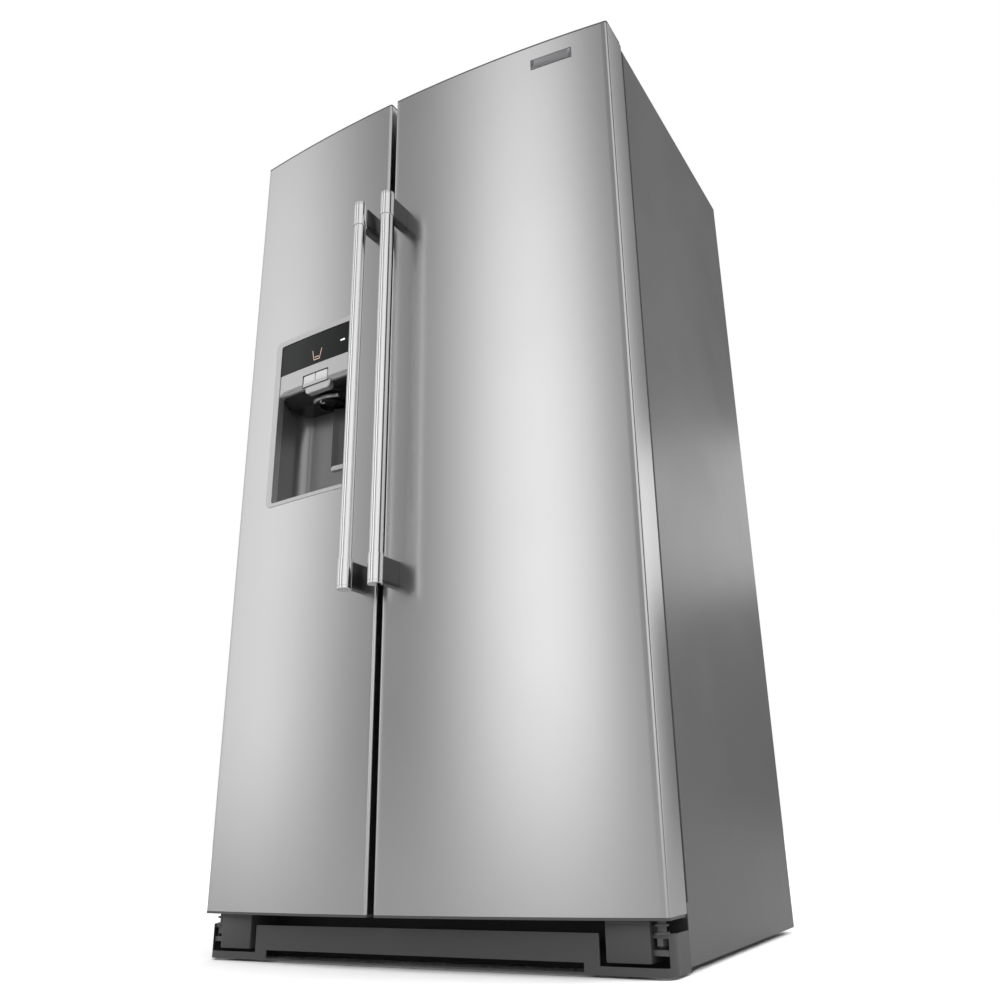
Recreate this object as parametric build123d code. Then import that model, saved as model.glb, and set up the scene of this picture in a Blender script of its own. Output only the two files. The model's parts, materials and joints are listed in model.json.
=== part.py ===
from build123d import *
import os
from math import atan2, degrees

os.makedirs("parts", exist_ok=True)

# A side by side refrigerator in millimetres. +Z is up, the doors face -Y, the freezer is at -X.
# The origin is on the floor, in the middle of the whole footprint, handles included.

# --- overall ---
door_span = 911.0        # outer side of one door to outer side of the other
case_width = door_span - 3.0
case_depth = 616.0       # front rim to back sheet
case_top = 1745.0
case_low = 9.0           # lower edge of the side sheets
door_low = 78.0
door_high = case_top + 11.0
door_thick = 104.0       # crown of the front to the back of the door
door_sag = 31.0          # how far the bowed front falls back at its two sides
seal_gap = 6.0           # door back to case rim
split_x = -54.5          # middle of the gap between the doors
split_gap = 13.0
sheet = 1.2              # painted and stainless sheet
cover_t = 1.5            # rear cover of the machine compartment
liner_wall = 2.5

# --- handles ---
handle_offset = 35.0     # handle axis from the middle of the gap
handle_out = 58.0        # handle axis in front of the door
tube_r = 12.5
ferrule_r = 14.25
handle_low = 621.0
handle_high = 1455.0
ferrule_len = 56.0
spigot_r = 11.0          # the tube's end inside its ferrule
socket_deep = 16.0
post_wide = 21.0
post_tall = 50.0

# --- worked out in Y ---
overall_depth = handle_out + ferrule_r + door_thick + seal_gap + case_depth
y_crown = -overall_depth / 2 + handle_out + ferrule_r
y_back = y_crown + door_thick
y_case = y_back + seal_gap
y_rear = y_case + case_depth
half_span = door_span / 2
bow_r = (half_span**2 + door_sag**2) / (2 * door_sag)
half_case = case_width / 2

# --- compartments ---
side_wall = 45.0
rear_wall = 60.0
roof_wall = 45.0
floor_z = 120.0          # inside floor of both compartments
mullion_half = 25.0
step_deep = 255.0        # the hump over the machine compartment
step_high = 290.0
deck_z = 74.5
deck_t = 1.5
machine_deep = 205.0
machine_high = 175.0
fridge_x = (split_x + mullion_half, half_case - side_wall)
freezer_x = (-(half_case - side_wall), split_x - mullion_half)
inside_y = (y_case, y_rear - rear_wall)
inside_z = (floor_z, case_top - roof_wall)

# --- hinges ---
hinge_in = 23.5          # hinge axis from the outer side of the door
hinge_back = 48.0        # hinge axis in front of the door back
hinge_x = half_span - hinge_in
hinge_y = y_back - hinge_back
hinge_cover_high = 12.0  # above the door
pin_r = 5.0
run_fit = 0.05
pin_grip = 18.0          # how far a pin reaches into a door
cap_t = 4.0
boss_r = 12.0
boss_deep = 22.0

# --- dispenser, on the freezer door ---
disp_x = split_x - 193.5
disp_wide = 248.5
disp_z = (851.0, 1239.0)
bezel_side = 16.5
bezel_top = 12.5
bezel_low = 7.5
bezel_proud = 1.5
fit_gap = 0.4            # round the pieces that drop into the frame
collar_deep = 34.0       # crown line to the back of the frame's collar
well_wall = 2.5
well_r = 30.0
well_deep = 103.0        # crown line to the inside of the well's back
well_z = (disp_z[0] + bezel_low, disp_z[1] - bezel_top)
well_x = (disp_x - disp_wide / 2 + bezel_side, disp_x + disp_wide / 2 - bezel_side)
glass_low = 1153.7
hood_front_low = 1104.0
hood_rear_low = 1082.0
key_z = (1107.0, 1132.0)
key_x = (disp_x - 35.5, disp_x + 34.0)
paddle_x = (disp_x - 3.0, disp_x + 59.0)
paddle_y = y_crown + well_deep - 19.0
paddle_pivot_z = 1075.0
paddle_low = 929.0
bulge_deep = y_crown + well_deep - y_back + 39.0  # the door's inner hump behind the well

# --- door furniture ---
liner_t = 3.0
dike_deep = 60.0
dike_t = 12.0
dike_in = 21.0           # dike from the side of the compartment
bin_deep = 92.0
bin_wall = 3.0
freezer_bins = (175.0, 450.0, 680.0)
fridge_bins = (175.0, 480.0, 820.0, 1160.0)

# --- base ---
grille_out = 42.0        # front of the base grille behind the crown of the doors
grille_gap = 0.3         # end of the grille in front of the case
grille_t = 2.5
grille_r = 20.0
grille_low = 3.0
bar_high = 15.0
panel_half = hinge_x - 94.0
panel_high = 59.0
mouth_half = panel_half - 26.0
mouth_z = (6.0, 19.0)
bracket_x = (hinge_x - 82.0, hinge_x - 12.0)
bracket_out = hinge_x + 14.0
bracket_z = (22.0, 72.0)
bracket_t = 3.0
pin_arm_z = (53.0, 58.0)  # the bracket arm that carries the pin
rail_x = hinge_x - 32.0
rail_half = 20.0
rail_t = 2.0
rail_low = 16.0
roller_r = 22.0
roller_half = 11.0
axle_r = 4.0
foot_r = 16.0
foot_high = 8.0
stud_r = 5.0
leg_y = y_case + 34.0
roller_y = y_rear - 60.0

# --- drawers and shelves ---
drawer_front = y_case + 112.0
shelf_front = y_case + 100.0
glide = 0.6              # running gap beside and under a drawer
drawer_wall = 3.0
runner = 8.0
lower_drawer_z = (132.0, 262.0)
upper_drawer_z = (306.0, 436.0)
fridge_shelves = (462.0, 700.0, 950.0, 1200.0, 1450.0)
freezer_shelves_z = (462.0, 690.0, 930.0, 1150.0)
shelf_t = 14.0
pane_t = 4.0
cover_in = 80.0          # evaporator cover in front of the freezer's back wall
ice_bin_z = (1362.0, 1530.0)
auger_z = ice_bin_z[0] + 45.0
auger_r = 6.0
freezer_mid = (freezer_x[0] + freezer_x[1]) / 2
fan_z = 1240.0           # evaporator fan
fan_shaft_r = 2.0
dairy_y = y_back + 50.0  # pivot of the flap over the fridge door's top bin
dairy_pivot_z = 1610.0
dairy_bin_z = (1480.0, 1540.0)

# --- machine compartment ---
machine_floor = deck_z + deck_t
condenser_fan_at = (60.0, y_rear - 105, machine_floor + 84)
valve_at = (-380.0, 130.0)
inlet_r = 5.55           # water inlet thread
gland_at = (-290.0, 130.0)
gland_r = 9.0


def block(x, y, z):
    """A box from three (low, high) pairs."""
    size = Box(x[1] - x[0], y[1] - y[0], z[1] - z[0])
    return Pos((x[0] + x[1]) / 2, (y[0] + y[1]) / 2, (z[0] + z[1]) / 2) * size


def rod(radius, start, length, axis=(0, 0, 1)):
    """A cylinder from a start point along an axis."""
    plane = Plane(origin=start, z_dir=axis)
    return plane * Pos(0, 0, length / 2) * Cylinder(radius, length)


def bow(proud=0.0):
    """Everything behind the bowed front, moved out by proud."""
    middle = (door_low + door_high) / 2
    return Pos(0, y_crown + bow_r, middle) * Cylinder(bow_r + proud, door_high * 1.2)


def front_y(x):
    """Where the bowed front is at this x."""
    return y_crown + bow_r - (bow_r**2 - x**2) ** 0.5


def tray(x, y, z, wall):
    """A box with an open top."""
    inner = block((x[0] + wall, x[1] - wall), (y[0] + wall, y[1] - wall), (z[0] + wall, z[1] + wall))
    return block(x, y, z) - inner


def inset(pair, by):
    """A (low, high) pair drawn in at both ends."""
    return (pair[0] + by, pair[1] - by)


def mirror_x(shape):
    """The same shape on the other side of the middle plane."""
    return mirror(shape, about=Plane.YZ)


def save(node, *shapes):
    """Write every solid of one node to its own file."""
    solids = [solid for shape in shapes for solid in shape.solids()]
    export_step(Compound(solids), f"parts/{node}.step")


# --- cabinet ---
def compartment(x, grow=0.0):
    """The hollow of one compartment, with the hump over the machine compartment."""
    y = (inside_y[0], inside_y[1] + grow)
    room = block(inset(x, -grow), y, inset(inside_z, -grow))
    hump = block(inset(x, -grow - 1), (y_rear - step_deep + grow, y_rear), (0, step_high - grow))
    return room - hump


def cabinet_shell():
    """One folded wrap: two sides, the roof and the rim round both openings."""
    outer = block((-half_case, half_case), (y_case, y_rear), (case_low, case_top))
    inner_x = inset((-half_case, half_case), sheet)
    inner = block(inner_x, (y_case + sheet, y_rear + 1), (0, case_top - sheet))
    rim_cut = block((-half_case - 1, half_case + 1), (y_case - 1, y_case + sheet), (0, deck_z))
    rim_cut -= block((-half_case, -half_case + sheet), (y_case, y_case + sheet), (case_low, deck_z))
    rim_cut -= block((half_case - sheet, half_case), (y_case, y_case + sheet), (case_low, deck_z))
    mouths = compartment(fridge_x, liner_wall) + compartment(freezer_x, liner_wall)
    return outer - inner - rim_cut - mouths


def cabinet_back():
    z = (deck_z + machine_high, case_top - sheet)
    return block(inset((-half_case, half_case), sheet), (y_rear - sheet, y_rear), z)


def cabinet_foam():
    """Insulation between the wrap and the two liners."""
    x = inset((-half_case, half_case), sheet)
    body = block(x, (y_case + sheet, y_rear - sheet), (deck_z + deck_t, case_top - sheet))
    machine = block((x[0] - 1, x[1] + 1), (y_rear - machine_deep, y_rear), (0, deck_z + machine_high))
    body -= machine
    body -= compartment(fridge_x, liner_wall)
    return body - compartment(freezer_x, liner_wall)


def liner(x):
    """A moulded compartment with a rail on each side under every drawer."""
    shell = compartment(x, liner_wall) - compartment(x)
    lower = (lower_drawer_z[0], y_rear - step_deep - 4)
    upper = (upper_drawer_z[0], inside_y[1] - cover_in - 4)
    for low, back in (lower, upper):
        for side in (x[0], x[1] - runner):
            shell += block((side, side + runner), (drawer_front + 6, back), (low - glide - 6, low - glide))
    return shell


def shelf_ledges(x, levels, back):
    """Short ledges on both side walls that carry the shelves."""
    ledges = []
    for level in levels:
        z = (level - shelf_t - 6, level - shelf_t)
        for side in (x[0], x[1] - runner):
            ledges.append(block((side, side + runner), (shelf_front + 10, back), z))
    return ledges


def fridge_liner():
    shell = liner(fridge_x)
    for ledge in shelf_ledges(fridge_x, fridge_shelves, inside_y[1]):
        shell += ledge
    return shell


def freezer_liner():
    shell = liner(freezer_x)
    for ledge in shelf_ledges(freezer_x, freezer_shelves_z, inside_y[1] - cover_in):
        shell += ledge
    ledge_z = ice_bin_z[0] - glide
    for side in (freezer_x[0], freezer_x[1] - runner):
        shell += block((side, side + runner), (drawer_front, inside_y[1] - cover_in), (ledge_z - 6, ledge_z))
    return shell


# --- base ---
def rail(side):
    """A channel, open below, that carries one leg and one roller."""
    x = (side * rail_x - rail_half, side * rail_x + rail_half)
    y = (y_case + 3, y_rear - 8)
    body = block(x, y, (rail_low, deck_z))
    body -= block(inset(x, rail_t), (y[0] - 1, y[1] + 1), (rail_low - 1, deck_z - rail_t))
    nut_y = (leg_y - 12, leg_y + 12)
    body += block(inset(x, rail_t), nut_y, (48, 60))
    body -= rod(stud_r + run_fit, (side * rail_x, leg_y, 40), deck_z)
    return body - rod(axle_r, (x[0] - 1, roller_y, roller_r), 2 * rail_half + 2, (1, 0, 0))


def deck():
    """The floor sheet, the riser in front of the machine compartment and its ceiling."""
    x = inset((-half_case, half_case), sheet)
    front = y_rear - machine_deep
    back = y_rear - cover_t
    body = block(x, (y_case + sheet, back), (deck_z, deck_z + deck_t))
    body += block(x, (front, front + deck_t), (deck_z, deck_z + machine_high))
    body += block(x, (front, back), (deck_z + machine_high - deck_t, deck_z + machine_high))
    for side in (-1, 1):
        body -= rod(stud_r + 1.5, (side * rail_x, leg_y, deck_z - 1), deck_t + 2)
    return body


def axle(side):
    return rod(axle_r, (side * rail_x - rail_half - 2, roller_y, roller_r), 2 * rail_half + 4, (1, 0, 0))


def base_frame():
    cross = block((-rail_x + rail_half, rail_x - rail_half), (y_case + 6, y_case + 8), (30, deck_z))
    return [deck(), rail(-1), rail(1), axle(-1), axle(1), cross]


def roller(side):
    wheel = rod(roller_r, (side * rail_x - roller_half, roller_y, roller_r), 2 * roller_half, (1, 0, 0))
    bore = rod(axle_r + run_fit, (side * rail_x - 20, roller_y, roller_r), 40, (1, 0, 0))
    wheel = chamfer(wheel.edges().filter_by(GeomType.CIRCLE), 1.5)
    return wheel - bore


def leg(side):
    """A levelling leg: a flat foot, a hexagon to turn it and a stud."""
    at = (side * rail_x, leg_y)
    foot = Pos(at[0], at[1], foot_high / 2) * Cylinder(foot_r, foot_high)
    foot = chamfer(foot.edges().filter_by(GeomType.CIRCLE), 1.0)
    hexagon = Pos(at[0], at[1], foot_high) * extrude(RegularPolygon(8, 6), 8)
    return foot + hexagon + rod(stud_r, (at[0], at[1], foot_high), 62)


def base_grille():
    """One moulding: a raised middle, a low bar at each end and a post round each corner."""
    front = y_crown + grille_out
    ring = block((-half_case, half_case), (front, y_case - grille_gap), (grille_low, panel_high))
    ring = fillet(ring.edges().filter_by(Axis.Z).sort_by(Axis.Y)[:2], grille_r)
    inner = block(inset((-half_case, half_case), grille_t), (front + grille_t, y_rear), (0, 100))
    inner = fillet(inner.edges().filter_by(Axis.Z).sort_by(Axis.Y)[:2], grille_r - grille_t)
    ring -= inner
    for side in (-1, 1):
        ends = sorted((side * panel_half, side * (half_case - 8)))
        ring -= block(ends, (front - 1, front + grille_r), (bar_high, 100))
        arm = sorted((side * (mouth_half - 12), side * (mouth_half + 10)))
        ring += block(arm, (front + grille_t, y_case + 6 - grille_gap), (32, 40))
    return ring - block((-mouth_half, mouth_half), (front - 1, front + grille_t + 1), mouth_z)


# --- hinges ---
def lower_hinge():
    """The right-hand bottom hinge: a folded box bracket with two arms."""
    front = y_crown + grille_out - 2
    box = block(bracket_x, (front, y_case), bracket_z)
    hollow = (front + bracket_t, y_case - bracket_t)
    box -= block(inset(bracket_x, bracket_t), hollow, (0, bracket_z[1] - bracket_t))
    reach = (bracket_x[1] - 1, bracket_out)
    span = (front + 10, hinge_y + 20)
    box += block(reach, span, pin_arm_z)
    box += block(reach, span, (30, 38))
    box += block((bracket_out - bracket_t, bracket_out), (hinge_y, hinge_y + 20), (30, pin_arm_z[1]))
    flange = (y_case - bracket_t, y_case)
    box += block((bracket_x[0] - 14, bracket_x[1]), flange, (deck_z + 1, deck_z + 20))
    box += block(bracket_x, flange, (bracket_z[0], deck_z + 2))
    return box - rod(pin_r, (hinge_x, hinge_y, pin_arm_z[0] - 3), 12)


def lower_pin():
    """The pin with its bolt head, washers and the collar that the door stands on."""
    x, y = hinge_x, hinge_y
    head_z, seat_z = pin_arm_z[0] - 10, pin_arm_z[1]
    pin = rod(pin_r, (x, y, head_z + 3), door_low + pin_grip - head_z - 3)
    pin += Pos(x, y, head_z) * extrude(RegularPolygon(8.5, 6), 10)
    pin += rod(12, (x, y, seat_z), 3)
    pin += rod(7.5, (x, y, seat_z + 3), door_low - 0.3 - seat_z - 3)
    return pin + rod(11.5, (x, y, seat_z + 11), 3)


def bottom_hinges():
    return [lower_hinge(), lower_pin(), mirror_x(lower_hinge()), mirror_x(lower_pin())]


def upper_hinge():
    """The right-hand top hinge: a stepped plate with a pin that points down."""
    plate = block((hinge_x - 40, hinge_x + 14), (hinge_y - 8, y_case + 70), (door_high + 1.5, door_high + 5))
    plate += block((hinge_x - 40, hinge_x + 14), (y_case + 10, y_case + 70), (case_top, door_high + 5))
    plate += rod(pin_r, (hinge_x, hinge_y, door_high - pin_grip), pin_grip + 3)
    for y in (y_case + 26, y_case + 54):
        plate += Pos(hinge_x - 13, y, door_high + 5) * extrude(RegularPolygon(6.5, 6), 3)
    return plate


def hinge_cover():
    """The right-hand plastic cover over the top hinge."""
    x = (hinge_x - 48, hinge_x + 20)
    y = (hinge_y - 11, y_case + 92)
    z = (case_top, door_high + hinge_cover_high)
    body = block(x, y, z)
    body = fillet(body.edges().filter_by(Axis.Z), 8)
    body = fillet(body.faces().sort_by(Axis.Z)[-1].edges(), 4)
    body -= block((x[0] - 1, x[1] + 1), (y[0] - 1, y_case + 1), (0, door_high + 1))
    return body - block(inset(x, 2.5), inset(y, 2.5), (0, z[1] - 2.5))


# --- doors ---
def door_outline(x, hinge_side):
    """Plan of one door: bowed front, softened front corners, rounded outer back corner."""
    wide = Pos((x[0] + x[1]) / 2, (y_crown + y_back) / 2 - 30) * Rectangle(x[1] - x[0], door_thick + 60)
    plan = wide & (Pos(0, y_crown + bow_r) * Circle(bow_r))
    corners = plan.vertices().sort_by(Axis.Y)
    plan = fillet(corners[:2], 5.0)
    outer = plan.vertices().group_by(Axis.Y)[-1].sort_by(Axis.X)[-1 if hinge_side > 0 else 0]
    return fillet(outer, 8.0)


def door_span_x(hinge_side):
    """The (low, high) x of one door."""
    if hinge_side > 0:
        return (split_x + split_gap / 2, half_span)
    return (-half_span, split_x - split_gap / 2)


def prism(plan, z):
    return Pos(0, 0, z[0]) * extrude(plan, z[1] - z[0])


def liner_window(hinge_side):
    """The back opening of the skin, where the door liner shows."""
    return inset(door_span_x(hinge_side), 10.0)


def dispenser_cut(grow=0.0):
    """The rounded hole through the door front for the dispenser."""
    wide = disp_wide - 12 + 2 * grow
    tall = disp_z[1] - disp_z[0] - 10 + 2 * grow
    plan = Plane.XZ * Pos(disp_x, (disp_z[0] + disp_z[1]) / 2) * RectangleRounded(wide, tall, 8)
    return Pos(0, y_crown + 60, 0) * extrude(plan, 90)


def door_skin(hinge_side):
    """Stainless sheet: bowed front, both sides and a narrow return at the back."""
    plan = door_outline(door_span_x(hinge_side), hinge_side)
    z = (door_low + cap_t, door_high - cap_t)
    skin = prism(plan, z) - prism(offset(plan, -sheet), z)
    return skin - block(liner_window(hinge_side), (y_back - 10, y_back + 1), z)


def door_foam(hinge_side):
    plan = offset(door_outline(door_span_x(hinge_side), hinge_side), -sheet)
    z = (door_low + cap_t, door_high - cap_t)
    foam = prism(plan, z) - block(liner_window(hinge_side), (y_back - liner_t, y_back), z)
    for low in (door_low, door_high - boss_deep):
        foam -= rod(boss_r, (hinge_side * hinge_x, hinge_y, low), boss_deep)
    return foam


def door_caps(hinge_side):
    """A plastic cap at each end of the door, with the bush that turns on the hinge pin."""
    plan = door_outline(door_span_x(hinge_side), hinge_side)
    caps = []
    for low, boss in ((door_low, door_low), (door_high - cap_t, door_high - boss_deep)):
        cap = prism(plan, (low, low + cap_t)) + rod(boss_r, (hinge_side * hinge_x, hinge_y, boss), boss_deep)
        deep = pin_grip + 0.5
        start = door_low if boss == door_low else door_high - deep
        caps.append(cap - rod(pin_r + run_fit, (hinge_side * hinge_x, hinge_y, start), deep))
    return caps


def dike_box(hinge_side):
    """Outer (x, z) of the raised wall on the inside of a door."""
    x = fridge_x if hinge_side > 0 else freezer_x
    return inset(x, dike_in), inset(inside_z, dike_in)


def door_liner(hinge_side):
    """Inner plate of the door with a raised wall that the bins hang in."""
    z = (door_low + cap_t, door_high - cap_t)
    plate = block(liner_window(hinge_side), (y_back - liner_t, y_back), z)
    x, dike_z = dike_box(hinge_side)
    ring = block(x, (y_back, y_back + dike_deep), dike_z)
    ring -= block(inset(x, dike_t), (y_back - 1, y_back + dike_deep + 1), inset(dike_z, dike_t))
    return plate + ring


def door_gasket(hinge_side):
    """Magnetic seal between the door liner and the rim of the case."""
    free = split_x + hinge_side * (split_gap / 2 + 2)
    x = sorted((free, hinge_side * (hinge_x + 2)))
    z = (door_low + 18, case_top - 12)
    ring = block(x, (y_back, y_case - 0.3), z)
    return ring - block(inset(x, 11), (y_back - 1, y_case), inset(z, 12))


def door_bins(hinge_side, levels, tall):
    """Open trays that hang between the door's raised walls."""
    x = inset(dike_box(hinge_side)[0], dike_t)
    return [tray(x, (y_back, y_back + bin_deep), (low, low + tall), bin_wall) for low in levels]


def handle(side):
    """A tube with a spigot at each end that its ferrules fit over."""
    x = split_x + side * handle_offset
    y = front_y(x) - handle_out
    tube = rod(tube_r, (x, y, handle_low + ferrule_len), handle_high - handle_low - 2 * ferrule_len)
    spigot_low = handle_low + ferrule_len - socket_deep + 1
    return tube + rod(spigot_r, (x, y, spigot_low), handle_high + handle_low - 2 * spigot_low)


def handle_mount(side, top):
    """One end of a handle: a grooved ferrule and the post that carries it to the door."""
    x = split_x + side * handle_offset
    y = front_y(x) - handle_out
    low = handle_high - ferrule_len if top else handle_low
    outer = handle_high if top else handle_low
    inward = -1 if top else 1
    body = rod(ferrule_r, (x, y, low), ferrule_len)
    body = chamfer(body.edges().filter_by(GeomType.CIRCLE), 1.2)
    groove_z = outer + inward * 6
    body -= Pos(x, y, groove_z) * (Cylinder(ferrule_r + 1, 1.0) - Cylinder(ferrule_r - 0.5, 1.0))
    post_z = (outer + inward * 5, outer + inward * (5 + post_tall))
    post = block((x - post_wide / 2, x + post_wide / 2), (y, front_y(x) + 5), sorted(post_z))
    post = fillet(post.edges().filter_by(Axis.Y), 5)
    post -= bow(0.1)
    socket_z = low if top else low + ferrule_len - socket_deep
    return body + post - rod(spigot_r + run_fit, (x, y, socket_z), socket_deep)


# --- dispenser ---
def bezel_hole(shrink=0.0):
    """The rounded opening inside the frame, as a prism through the door."""
    wide = well_x[1] - well_x[0] - 2 * shrink
    tall = well_z[1] - well_z[0] - 2 * shrink
    plan = Plane.XZ * Pos(disp_x, (well_z[0] + well_z[1]) / 2) * RectangleRounded(wide, tall, 6 - shrink)
    return Pos(0, y_back + 20, 0) * extrude(plan, door_thick + 60)


def dispenser_bezel():
    """The frame round the dispenser: a thin flange on the door and a collar in the hole."""
    outer = Plane.XZ * Pos(disp_x, (disp_z[0] + disp_z[1]) / 2)
    outer = outer * RectangleRounded(disp_wide, disp_z[1] - disp_z[0], 12)
    flange = (Pos(0, y_crown + 60, 0) * extrude(outer, 90)) & bow(bezel_proud)
    flange -= bow(0.0)
    collar = dispenser_cut(-0.5) & bow(bezel_proud)
    collar -= block((-half_span, 0), (y_crown + collar_deep, y_back + 100), (door_low, door_high))
    return flange + collar - bezel_hole()


def hood_profile(grow):
    """Side view of the hood, drawn in by grow."""
    top = well_z[1] - fit_gap - grow
    points = [
        (y_crown - 10 + grow, hood_front_low + grow),
        (y_crown - 10 + grow, top),
        (y_crown + well_deep - fit_gap - grow, top),
        (y_crown + well_deep - fit_gap - grow, hood_rear_low + grow),
        (y_crown + 50, hood_rear_low + 5 + grow),
    ]
    return points


def hood_body(x, proud, grow):
    face = Plane.YZ * make_face(Polyline(*hood_profile(grow), close=True))
    return (Pos(x[0], 0, 0) * extrude(face, x[1] - x[0])) & bow(proud)


def dispenser_hood():
    """The silver housing over the well, hollow, with windows for the keys and ears for the paddle."""
    x = inset(well_x, fit_gap)
    body = hood_body(x, -0.3, 0.0) & bezel_hole(fit_gap) & well_room(fit_gap)
    body -= block((x[0] - 1, x[1] + 1), (y_crown - 20, y_crown + 200), (glass_low - 0.3, 2000)) - bow(-3.6)
    body -= hood_body(inset(x, 2.5), -2.8 - 3.6, 2.5) & well_room(fit_gap + 2.5)
    for key in keys_x():
        body -= block(inset(key, -fit_gap), (y_crown - 10, y_crown + 24), inset(key_z, -fit_gap))
    for end, way in ((paddle_x[0] - fit_gap, -1), (paddle_x[1] + fit_gap, 1)):
        ear_z = (paddle_pivot_z - 7, hood_rear_low + 4)
        body += block(sorted((end, end + way * 6)), (paddle_y - 7, paddle_y + 7), ear_z)
        body -= rod(3 + run_fit, (end - 8, paddle_y, paddle_pivot_z), 16, (1, 0, 0))
    return body


def control_glass():
    """The black glass above the hood's front."""
    pane = block(well_x, (y_crown - 10, y_crown + 60), (glass_low, well_z[1])) & bezel_hole(fit_gap)
    return (pane & bow(-0.3)) - bow(-3.4)


def keys_x():
    middle = (key_x[0] + key_x[1]) / 2
    return [(key_x[0], middle - 1.0), (middle + 1.0, key_x[1])]


def key(x):
    """A key that pushes in, with a shoulder behind the hood's face."""
    middle = (x[0] + x[1]) / 2
    front = front_y(middle) - 0.9
    cap = block(x, (front, front + 16), key_z)
    cap = fillet(cap.edges().filter_by(Axis.Y), 1.5)
    return fillet(cap.faces().sort_by(Axis.Y)[0].edges(), 0.8)


def well_room(shrink=0.0, front=-20.0):
    """The room inside the recess, with its two back corners rounded."""
    y = (y_crown + front, y_crown + well_deep - shrink)
    room = block(inset(well_x, shrink), y, inset(well_z, shrink))
    return fillet(room.edges().filter_by(Axis.Z).sort_by(Axis.Y)[-2:], well_r - shrink)


def dispenser_well():
    """A moulded recess behind the frame."""
    return well_room(-well_wall, collar_deep + 0.3) - well_room()


def paddle():
    """A hanging plate on two stub axles, with a thicker lip at its foot."""
    plate = block(paddle_x, (paddle_y - 2, paddle_y + 2), (paddle_low + 5, paddle_pivot_z))
    plate += rod(5, (paddle_x[0], paddle_y, paddle_pivot_z), paddle_x[1] - paddle_x[0], (1, 0, 0))
    plate += rod(3, (paddle_x[0] - 6, paddle_y, paddle_pivot_z), paddle_x[1] - paddle_x[0] + 12, (1, 0, 0))
    lip = block(inset(paddle_x, -1), (paddle_y - 7, paddle_y + 3), (paddle_low, paddle_low + 12))
    return plate + fillet(lip.edges().filter_by(Axis.X), 2)


def bulge():
    """The hump on the inside of the freezer door, behind the well."""
    x = inset(dike_box(-1)[0], dike_t)
    z = (well_z[0] - 30, well_z[1] + 30)
    outer = block(x, (y_back - liner_t, y_back + bulge_deep), z)
    cave = block(inset(x, 3), (y_back - liner_t - 1, y_back + bulge_deep - 3), inset(z, 3))
    return outer, cave


def freezer_door_liner():
    outer, cave = bulge()
    return (door_liner(-1) + outer) - cave


def freezer_door_foam():
    """Foam in the door and in its hump, with the dispenser left free."""
    front = block(inset(well_x, -12), (y_crown - 20, y_crown + collar_deep + 2), inset(well_z, -12))
    return (door_foam(-1) + bulge()[1]) - well_room(-well_wall, collar_deep) - front


# --- inside the compartments ---
def wire_shelf(level):
    """A wire shelf: a square rim with cross wires."""
    x = inset(freezer_x, 1.0)
    y = (shelf_front, inside_y[1] - cover_in - 4)
    rim = block(x, y, (level - 6, level))
    rim -= block(inset(x, 6), inset(y, 6), (level - 7, level + 1))
    count = 14
    for i in range(1, count):
        at = x[0] + (x[1] - x[0]) * i / count
        rim += block((at - 2, at + 2), inset(y, 3), (level - 5, level - 1))
    lip = block(x, (y[0], y[0] + 6), (level - shelf_t, level))
    for side in (x[0], x[1] - 6):
        rim += block((side, side + 6), y, (level - shelf_t, level))
    return rim + lip


def shelf_frame(level):
    """A moulded rim round one pane."""
    x = inset(fridge_x, 1.0)
    y = (shelf_front, inside_y[1] - 2)
    rim = block(x, y, (level - shelf_t, level))
    rim -= block(inset(x, 16), inset(y, 16), (level - shelf_t - 1, level + 1))
    return rim - block(inset(x, 10), inset(y, 10), (level - pane_t, level + 1))


def shelf_pane(level):
    x = inset(fridge_x, 11.2)
    return block(x, inset((shelf_front, inside_y[1] - 2), 10.2), (level - pane_t, level))


def drawer(x, z, back):
    """An open box with a taller, thicker front and a flange over each rail."""
    box = tray(inset(x, runner + glide), (drawer_front, back), (z[0] + 4, z[1]), drawer_wall)
    box += block(inset(x, glide), (drawer_front, back - 10), (z[0], z[0] + 4)) - block(
        inset(x, runner + glide + drawer_wall), (drawer_front - 1, back), (z[0] - 1, z[0] + 5)
    )
    box += block(inset(x, runner + glide), (drawer_front, back), (z[0] + 3, z[0] + 7))
    return box + block(inset(x, 2), (drawer_front - 6, drawer_front + drawer_wall), z)


def ice_maker():
    """The mould with its dividers, its motor case at one end and the plate that hangs it."""
    x = (freezer_x[0] + 30, freezer_x[1] - 40)
    y = (y_case + 190, y_case + 320)
    body = tray(x, y, (1585, 1650), 4)
    for i in range(1, 7):
        at = x[0] + (x[1] - x[0]) * i / 7
        body += block((at - 1.5, at + 1.5), inset(y, 2), (1588, 1640))
    body += block((x[1], x[1] + 30), y, (1570, 1670))
    body += block(x, (y[1] - 8, y[1]), (1640, inside_z[1]))
    return body


def ice_bin():
    """A clear bin under the ice maker, open at the top, with a hole in each end for the auger."""
    y = (drawer_front, inside_y[1] - cover_in - 12)
    box = tray(inset(freezer_x, runner + glide), y, ice_bin_z, bin_wall)
    box += block(inset(freezer_x, glide), y, (ice_bin_z[0], ice_bin_z[0] + bin_wall))
    for end in (y[0], y[1] - bin_wall):
        box -= rod(auger_r + run_fit, (freezer_mid, end - 1, auger_z), bin_wall + 2, (0, 1, 0))
    return box


def ice_auger():
    """A shaft through both ends of the bin with paddles set round it like a screw."""
    back = inside_y[1] - cover_in - 12
    shaft = rod(auger_r, (freezer_mid, drawer_front - 2, auger_z), back - drawer_front + 4, (0, 1, 0))
    count = 9
    step = (back - drawer_front - 30) / count
    for i in range(count):
        blade = Rot(0, 40 * i, 0) * Box(70, 5, 12)
        shaft += Pos(freezer_mid, drawer_front + 20 + step * i, auger_z) * blade
    return shaft


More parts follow.
